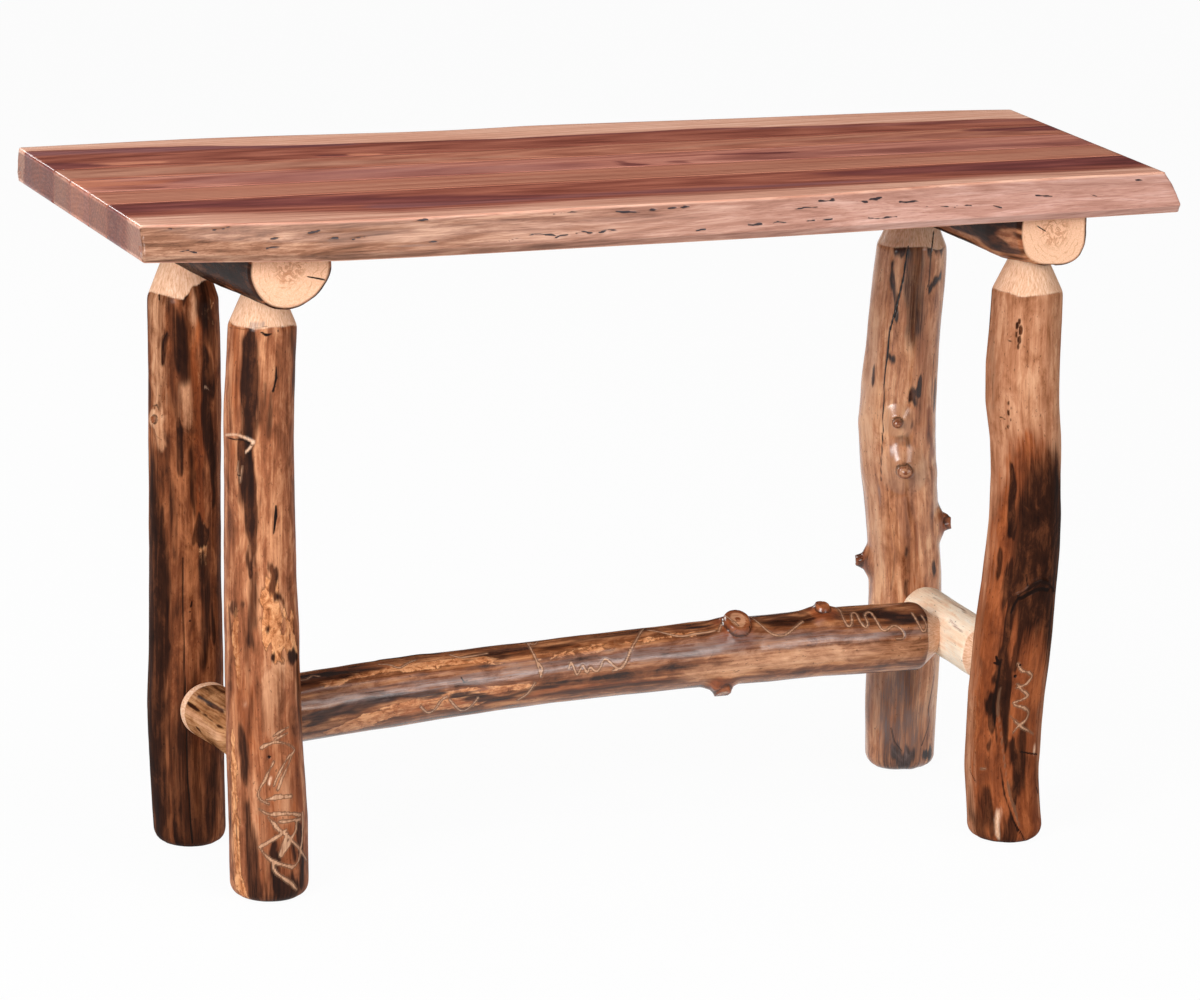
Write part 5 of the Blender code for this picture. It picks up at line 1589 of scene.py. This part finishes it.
def sapwood(board, border, soft, strength=1.0):
    """Sapwood on the live side of a border of x, y points in millimetres."""
    x, y = np.array(border).T / 1000
    depth = (board.y - np.interp(board.across, x, y)) * board.live + 0.0012 * board.fray
    lay(board, "sap", strength * ease(depth, -soft / 2000, soft / 2000))


def live_columns(board):
    start = board.counts[0] if board.live == -1 else sum(board.counts[:3])
    return slice(start, start + LIVE_LEVELS)


def live_edge(board):
    """The layers of a live edge, paler towards the right end."""
    columns = live_columns(board)
    cover = ease(np.linspace(0.0, 1.0, LIVE_LEVELS), -0.02, 0.05)
    board.layers["edge"][:, columns] = cover if board.live == -1 else cover[::-1]
    board.layers["pale"][:, columns] = ease(board.across[:, columns], -0.45, 0.45)


def dig_pits(board, pits):
    """Pits of the live edge through spots of the picture."""
    columns = live_columns(board)
    x, z = board.across[:, columns], board.z[:, columns]
    layer = board.layers["pit"][:, columns]
    fray = wander(x.shape, (2.0, 0.9), board.seed * 100 + 4)
    for spots in pits:
        hits = [board.tree.ray_cast(eye, sight(column, row))[0] for column, row, _ in spots]
        trail = [(hit.x * PIT_SQUASH, hit.z, PIT_SCALE * spot[2] / 1000) for hit, spot in zip(hits, spots)]
        gap = trail_gap(x * PIT_SQUASH, z, trail) + 0.0005 * fray
        cover = 0.9 - 0.9 * ease(gap, -0.0004, 0.0011)
        np.maximum(layer, cover, out=layer)
        board.swell -= PIT_DEPTH * cover
    place_points(board)


print("depth of a pit in mm:", round(1000 * PIT_DEPTH, 1))

# %% [markdown]
# The ends of a board are closed by rings that shrink to a seam at half its thickness. There the layers
# of the face run on over the end, as grain does, all but the live edge and its pits.

# %% Close the ends of a board
BOARD_CAP = 6
BOARD_GRAIN_SHIFT = 0.61
CAP_SHARE = {"edge": 0.0, "pit": 0.0, "dark": 0.7, "end": 0.0}


def skin_board(board, material, pith):
    """The finished skin of a board. pith is where the tree's middle would be: y, z and slopes."""
    points = np.stack((board.across, board.y, board.z), axis=-1)
    layers = dict(board.layers)
    shares = np.linspace(1.0, 0.0, BOARD_CAP + 1)[1:]
    for end in (0, -1):
        rim = points[end].copy()
        front = rim[board.counts[0] + board.counts[1] // 2, 1]
        back = rim[-1 - board.counts[3] // 2, 1]
        seam = np.clip(rim[:, 1], front + 0.001, back - 0.001)
        rings = np.repeat(rim[None], BOARD_CAP, axis=0)
        rings[..., 1] = seam + (rings[..., 1] - seam) * shares[:, None]
        rings[..., 2] = board.middle + (rings[..., 2] - board.middle) * shares[:, None]
        points = with_cap(points, rings, end == 0)
        for name in BOARD_LAYERS:
            cap = np.repeat(layers[name][end][None], BOARD_CAP, axis=0) * CAP_SHARE.get(name, 1.0)
            if name == "end":
                cap += 1.0
            layers[name] = with_cap(layers[name], cap, end == 0)
    pith_y, pith_z, slope_y, slope_z = pith
    grain = np.stack((
        points[..., 0] + board.seed * BOARD_GRAIN_SHIFT,
        points[..., 1] - pith_y - slope_y * points[..., 0],
        points[..., 2] - pith_z - slope_z * points[..., 0],
    ), axis=-1)
    mesh = grid_mesh(board.node + "_skin", points, layers, {"grain": grain})
    put_in_place(board.node + "_skin", mesh, material, "walnut_top", board.node)


# %% [markdown]
# ## The walnut finish
# Grain is drawn from the tree itself: growth rings are circles round a pith that lies somewhere below
# the board and runs a little askew to it. Their distance gives arches on the face, straight lines
# beside them and curved bands on the sawn ends, all from one formula. Slow streaks and fine pores go
# over it. Then come the layers: pale and mauve bands, dark heartwood, warm patches, sapwood, the live
# edge, sawn ends and pits. A picture of walnut could be laid on, but it would not run on over the ends.

# %% Walnut material


def walnut(name, dark, middle, light, ring_size):
    recipe = Recipe(name)
    grain = recipe.stored("grain", "Vector")
    sway = recipe.noise(grain, (4, 20, 20), 3.0, 0.5)
    streak = recipe.noise(grain, (1.6, 110, 110), 5.0, 0.6)
    fine = recipe.noise(grain, (3, 380, 380), 4.0, 0.6)
    cloud = recipe.noise(grain, (5, 26, 26), 4.0, 0.55)
    pore = recipe.noise(grain, (26, 1100, 1100), 3.0, 0.6)
    from_pith = recipe.length(recipe.stretch(grain, (0, 1, 1)))
    ring = recipe.sums("PINGPONG", recipe.total((from_pith, 1.0 / ring_size), (sway, 1.6)), 0.5)
    tone = recipe.total((ring, 0.22), (streak, 0.40), (fine, 0.28), (cloud, 0.21))
    wood = recipe.ramp(tone, (0.39, *dark), (0.50, *middle), (0.61, *light))

    def frayed(layer, amount):
        drift = recipe.times(recipe.minus(streak, 0.5), amount)
        return recipe.rise(recipe.plus(recipe.stored(layer), drift), 0.1, 0.9)

    fawn = recipe.ramp(tone, (0.38, 160, 104, 84), (0.62, 192, 136, 112))
    wood = recipe.blend(frayed("pale", 0.8), wood, fawn)
    plum = recipe.ramp(tone, (0.38, 112, 64, 66), (0.62, 150, 96, 92))
    wood = recipe.blend(frayed("mauve", 0.8), wood, plum)
    dusk = recipe.ramp(tone, (0.38, 92, 44, 42), (0.52, 118, 60, 56), (0.66, 148, 84, 74))
    wood = recipe.blend(frayed("dark", 0.9), wood, dusk)
    amber = recipe.ramp(tone, (0.38, 178, 104, 78), (0.62, 218, 146, 116))
    wood = recipe.blend(frayed("warm", 0.7), wood, amber)
    cream_sap = recipe.ramp(tone, (0.38, 202, 143, 118), (0.50, 222, 166, 141), (0.62, 238, 194, 170))
    wood = recipe.blend(frayed("sap", 0.35), wood, cream_sap)

    brush = recipe.noise(grain, (16, 200, 420), 6.0, 0.65, 0.7)
    sweep = recipe.noise(grain, (6, 45, 80), 5.0, 0.6, 0.9)
    skin = recipe.total((brush, 0.4), (sweep, 0.6))
    tan_edge = recipe.ramp(skin, (0.36, 86, 55, 39), (0.49, 134, 91, 69), (0.62, 182, 139, 113))
    lilac_edge = recipe.ramp(skin, (0.36, 152, 106, 92), (0.49, 179, 133, 118), (0.62, 202, 162, 150))
    bare_edge = recipe.blend(recipe.stored("pale"), tan_edge, lilac_edge)
    wood = recipe.blend(recipe.stored("edge"), wood, bare_edge)
    shade = recipe.blend(1.0, wood, paint(150, 118, 104), "MULTIPLY")
    wood = recipe.blend(recipe.rise(pore, 0.34, 0.46, 0.35, 0.0), wood, shade)
    hatch = recipe.noise(grain, (10, 260, 620), 5.0, 0.65)
    sawn = recipe.ramp(hatch, (0.36, 54, 25, 20), (0.50, 90, 47, 36), (0.64, 136, 82, 64))
    wood = recipe.blend(recipe.rise(recipe.stored("end"), 0.0, 1.0, 0.0, 0.62), wood, sawn)
    bored = recipe.plus(recipe.stored("pit"), recipe.times(recipe.minus(brush, 0.5), 1.3))
    wood = recipe.blend(recipe.rise(bored, 0.42, 0.72), wood, paint(52, 41, 43))
    recipe.bump(recipe.total((pore, 1.0), (ring, 0.4)), 0.12, 0.0003)
    varnish = recipe.rise(recipe.stored("end"), 0.0, 1.0, 0.34, 0.12)
    return recipe.finish(wood, recipe.rise(streak, 0.3, 0.7, 0.36, 0.48), varnish, 0.22, specular=0.1)


red_walnut = walnut("red_walnut", (118, 57, 44), (148, 82, 65), (175, 106, 85), 0.0052)
tan_walnut = walnut("tan_walnut", (146, 84, 64), (174, 108, 86), (196, 132, 106), 0.0060)
rose_walnut = walnut("rose_walnut", (150, 86, 72), (184, 117, 100), (204, 140, 120), 0.0056)
print("walnut finishes:", red_walnut.name, tan_walnut.name, rose_walnut.name)

# %% [markdown]
# ## The back boards
# The back board has the other live edge, seen only from behind, and a wavy border of sapwood with a
# mauve band beside it. Two small knots lie near the glue line. The narrow board in front of it is
# paler, with a long tongue of arching grain.

# %% Back boards
BACK_SAP = [
    (-595, 224), (-410, 215), (-300, 196), (-210, 189), (-50, 180), (30, 183), (190, 191),
    (290, 183), (390, 180), (595, 171),
]
BACK_MARKS = [
    ("mauve", 0.85, 14, 2, [(-590, 208, 9), (-400, 198, 10), (-250, 188, 8)]),
    ("dark", 0.75, 10, 2, [(-200, 187, 3), (-60, 181, 7), (40, 184, 6), (150, 188, 3)]),
    ("mauve", 0.5, 12, 2, [(200, 186, 6), (350, 170, 7), (590, 160, 6)]),
    ("dark", 0.8, 12, 3, [(-592, 130, 16), (-560, 128, 10)]),
    ("warm", 0.75, 5, 3, [(-540, 134, 1), (-512, 131, 4), (-470, 127, 1)]),
    ("warm", 0.6, 4, 1, [(-470, 119, 2), (-380, 119, 2)]),
    ("dark", 1, 4, 1, [(-280, 126, 5), (-262, 122, 4)]),
    ("warm", 0.9, 4, 1, [(-245, 124, 5), (-228, 122, 4)]),
]
BACK_INNER_MARKS = [
    ("pale", 0.8, 12, 3, [(-590, 80, 22), (-350, 78, 14), (-80, 76, 3)]),
    ("pale", 0.6, 6, 2, [(60, 70, 3), (200, 92, 6), (350, 100, 6)]),
    ("dark", 1, 10, 3, [(500, 112, 5), (545, 110, 10), (592, 106, 14)]),
    ("dark", 0.4, 14, 3, [(250, 84, 5), (420, 86, 10), (520, 88, 12)]),
]

board = Board("back_live_edge_board", 1, 51)
sapwood(board, BACK_SAP, soft=8)
live_edge(board)
mark_board(board, BACK_MARKS)
skin_board(board, red_walnut, (0.150, 0.640, 0.010, 0.035))

board = Board("back_inner_board", 0, 52)
mark_board(board, BACK_INNER_MARKS)
skin_board(board, tan_walnut, (0.078, 0.690, 0.012, 0.055))

# %% [markdown]
# ## The middle boards
# The centre board has a knotty orange patch at its left end and dark flecks right of the middle. The
# front inner board is the plainest: straight grain, a warm salmon tan. One wide board with painted lines
# would be less work, but its grain would cross the glue lines, so each board has a pith of its own.

# %% Middle boards
CENTRE_MARKS = [
    ("warm", 0.8, 12, 5, [(-590, 18, 18), (-540, 12, 16), (-500, 20, 8)]),
    ("dark", 0.8, 5, 2, [(-560, -8, 3), (-520, -12, 3)]),
    ("mauve", 0.45, 16, 4, [(-450, 14, 22), (-250, 10, 24), (-50, 8, 20)]),
    ("dark", 0.8, 5, 2, [(24, 16, 4), (34, -6, 5)]),
    ("dark", 0.7, 5, 2, [(84, 6, 5), (96, -10, 5)]),
    ("dark", 0.85, 7, 2, [(150, 30, 5), (180, 32, 7), (220, 30, 4)]),
    ("dark", 0.5, 16, 4, [(130, 5, 8), (300, 8, 14), (480, 10, 14), (590, 12, 14)]),
]
FRONT_INNER_MARKS = [
    ("pale", 0.45, 20, 4, [(-590, -66, 20), (0, -58, 18), (590, -46, 18)]),
]

board = Board("centre_board", 0, 53)
mark_board(board, CENTRE_MARKS)
skin_board(board, rose_walnut, (0.005, 0.655, 0.010, 0.030))

board = Board("front_inner_board", 0, 54)
mark_board(board, FRONT_INNER_MARKS)
skin_board(board, tan_walnut, (-0.250, 0.600, 0.014, 0.0))

# %% [markdown]
# ## The front board
# The dark one. Purple-brown heartwood at both ends, lighter in the middle, a broad band of sapwood and
# then the live edge, whose bluish pits are the scars of bark beetles. Painted dots would look flat in
# light that falls along the edge, so the pits are dug into the skin.

# %% Front board
FRONT_SAP = [
    (-595, -166), (-510, -164), (-410, -181), (-310, -201), (-210, -196), (-110, -187),
    (-10, -181), (90, -176), (190, -171), (290, -166), (390, -156), (490, -151), (595, -144),
]
PITS = [
    [(161, 230, 0.8), (172, 229, 0.6)], [(214, 230, 1), (222, 229, 1.6), (230, 227, 0.8)],
    [(180, 252, 0.6), (188, 251, 1), (196, 253, 0.7)], [(239, 246, 0.5), (246, 245, 0.6)],
    [(271, 239, 0.6), (276, 238, 1.4), (282, 237, 0.8)],
    [(267, 248, 0.6), (274, 247, 1.3), (281, 246, 0.6)],
    [(307, 234, 0.6), (315, 232, 1.3), (320, 231, 0.6)],
    [(320, 240, 1.2), (328, 239, 1.8), (337, 238, 1)],
    [(352, 240, 0.5), (357, 238, 0.6), (365, 237, 0.5)],
    [(396, 223, 0.7), (410, 221, 0.9), (428, 220, 0.6)],
    [(424, 243, 0.5), (432, 242, 1.1), (441, 241, 0.5)],
    [(510, 241, 0.6), (517, 239, 0.9), (525, 239, 0.5)],
    [(527, 237, 0.5), (535, 234, 0.6), (545, 235, 0.5), (556, 236, 0.6)],
    [(554, 214, 0.4), (562, 213, 0.6)], [(568, 213, 0.4), (586, 212, 0.6)],
    [(617, 212, 0.6), (625, 212, 0.9), (640, 212, 0.8), (652, 210, 0.8),
        (664, 209, 0.6), (676, 208, 0.6), (690, 207, 0.7)],
    [(594, 218, 0.6)], [(556, 238, 0.6), (562, 236, 1), (569, 235, 0.5)],
    [(577, 234, 0.4), (583, 232, 0.7), (590, 233, 0.5)],
    [(592, 233, 0.5), (600, 233, 0.8), (608, 230, 0.9), (616, 231, 0.7), (626, 231, 0.4)],
    [(697, 231, 0.5), (702, 230, 0.9), (706, 230, 0.4)],
    [(741, 225, 0.4), (748, 226, 0.7), (755, 225, 0.8), (762, 224, 0.4)],
    [(773, 224, 0.4), (779, 222, 0.9), (788, 223, 0.4)],
    [(793, 210, 0.4), (803, 208, 0.6), (818, 207, 0.4)], [(808, 221, 0.5), (815, 221, 0.5)],
    [(823, 220, 0.4), (833, 219, 0.7)],
    [(819, 201, 0.5), (827, 201, 0.8), (836, 200, 0.7), (848, 199, 0.5)],
    [(857, 201, 0.5), (865, 201, 0.9), (875, 199, 0.9), (884, 197, 0.8)],
    [(869, 218, 0.5), (880, 219, 0.7), (890, 217, 0.6), (897, 217, 0.4)],
    [(900, 202, 0.4), (908, 202, 0.5), (915, 201, 1), (921, 202, 0.4)],
    [(922, 206, 0.4), (930, 207, 0.5), (940, 207, 0.8), (950, 207, 0.8), (955, 207, 0.3)],
    [(957, 206, 0.6), (964, 206, 0.9), (971, 205, 0.5)],
    [(994, 206, 0.5), (998, 207, 0.8), (1002, 208, 0.4)],
    [(1037, 196, 0.4), (1044, 196, 0.7), (1052, 196, 0.4)], [(1091, 195, 0.3), (1097, 196, 0.6)],
    [(1136, 180, 0.4), (1143, 180, 0.5)],
]
FRONT_MARKS = [
    ("dark", 0.85, 26, 5, [(-595, -122, 20), (-400, -124, 22), (-250, -146, 18), (-150, -156, 7)]),
    ("mauve", 0.7, 12, 2, [(-300, -170, 14), (-100, -165, 8), (100, -160, 6), (250, -155, 6)]),
    ("dark", 0.9, 22, 4, [(250, -110, 6), (380, -112, 18), (500, -108, 26), (595, -100, 28)]),
]

board = Board("front_live_edge_board", -1, 55)
sapwood(board, FRONT_SAP, soft=34, strength=0.62)
live_edge(board)
dig_pits(board, PITS)
print("pits:", len(PITS))
mark_board(board, FRONT_MARKS)
skin_board(board, red_walnut, (-0.120, 0.650, 0.012, 0.030))

# %% [markdown]
# ## Steel
# The screws stay as the solid model has them. They only need a finish: plain zinc-plated steel, with
# a faint mottle in its colour and its polish. A thread could be cut, but none of it would show.

# %% Screws
recipe = Recipe("zinc_steel")
place = step(recipe.tree, "TexCoord").outputs["Object"]
mottle = recipe.noise(place, (900, 900, 900), 3.0, 0.6)
zinc = recipe.ramp(mottle, (0.35, 128, 128, 132), (0.65, 176, 176, 180))
steel = recipe.finish(zinc, recipe.rise(mottle, 0.3, 0.7, 0.28, 0.42), metallic=1.0)
screws = [name for name in frame["nodes"] if "screw" in name]
for name in screws:
    mesh = frame["nodes"][name].data
    mesh.materials.clear()
    mesh.materials.append(steel)
print("screws:", len(screws))

# %% [markdown]
# ## Size
# The box of everything that is shown is measured and printed. The looks must stay inside
# the solid table.

# %% Measure and finish
low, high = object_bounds()
print("visual box:", [round(v, 4) for v in low], [round(v, 4) for v in high])
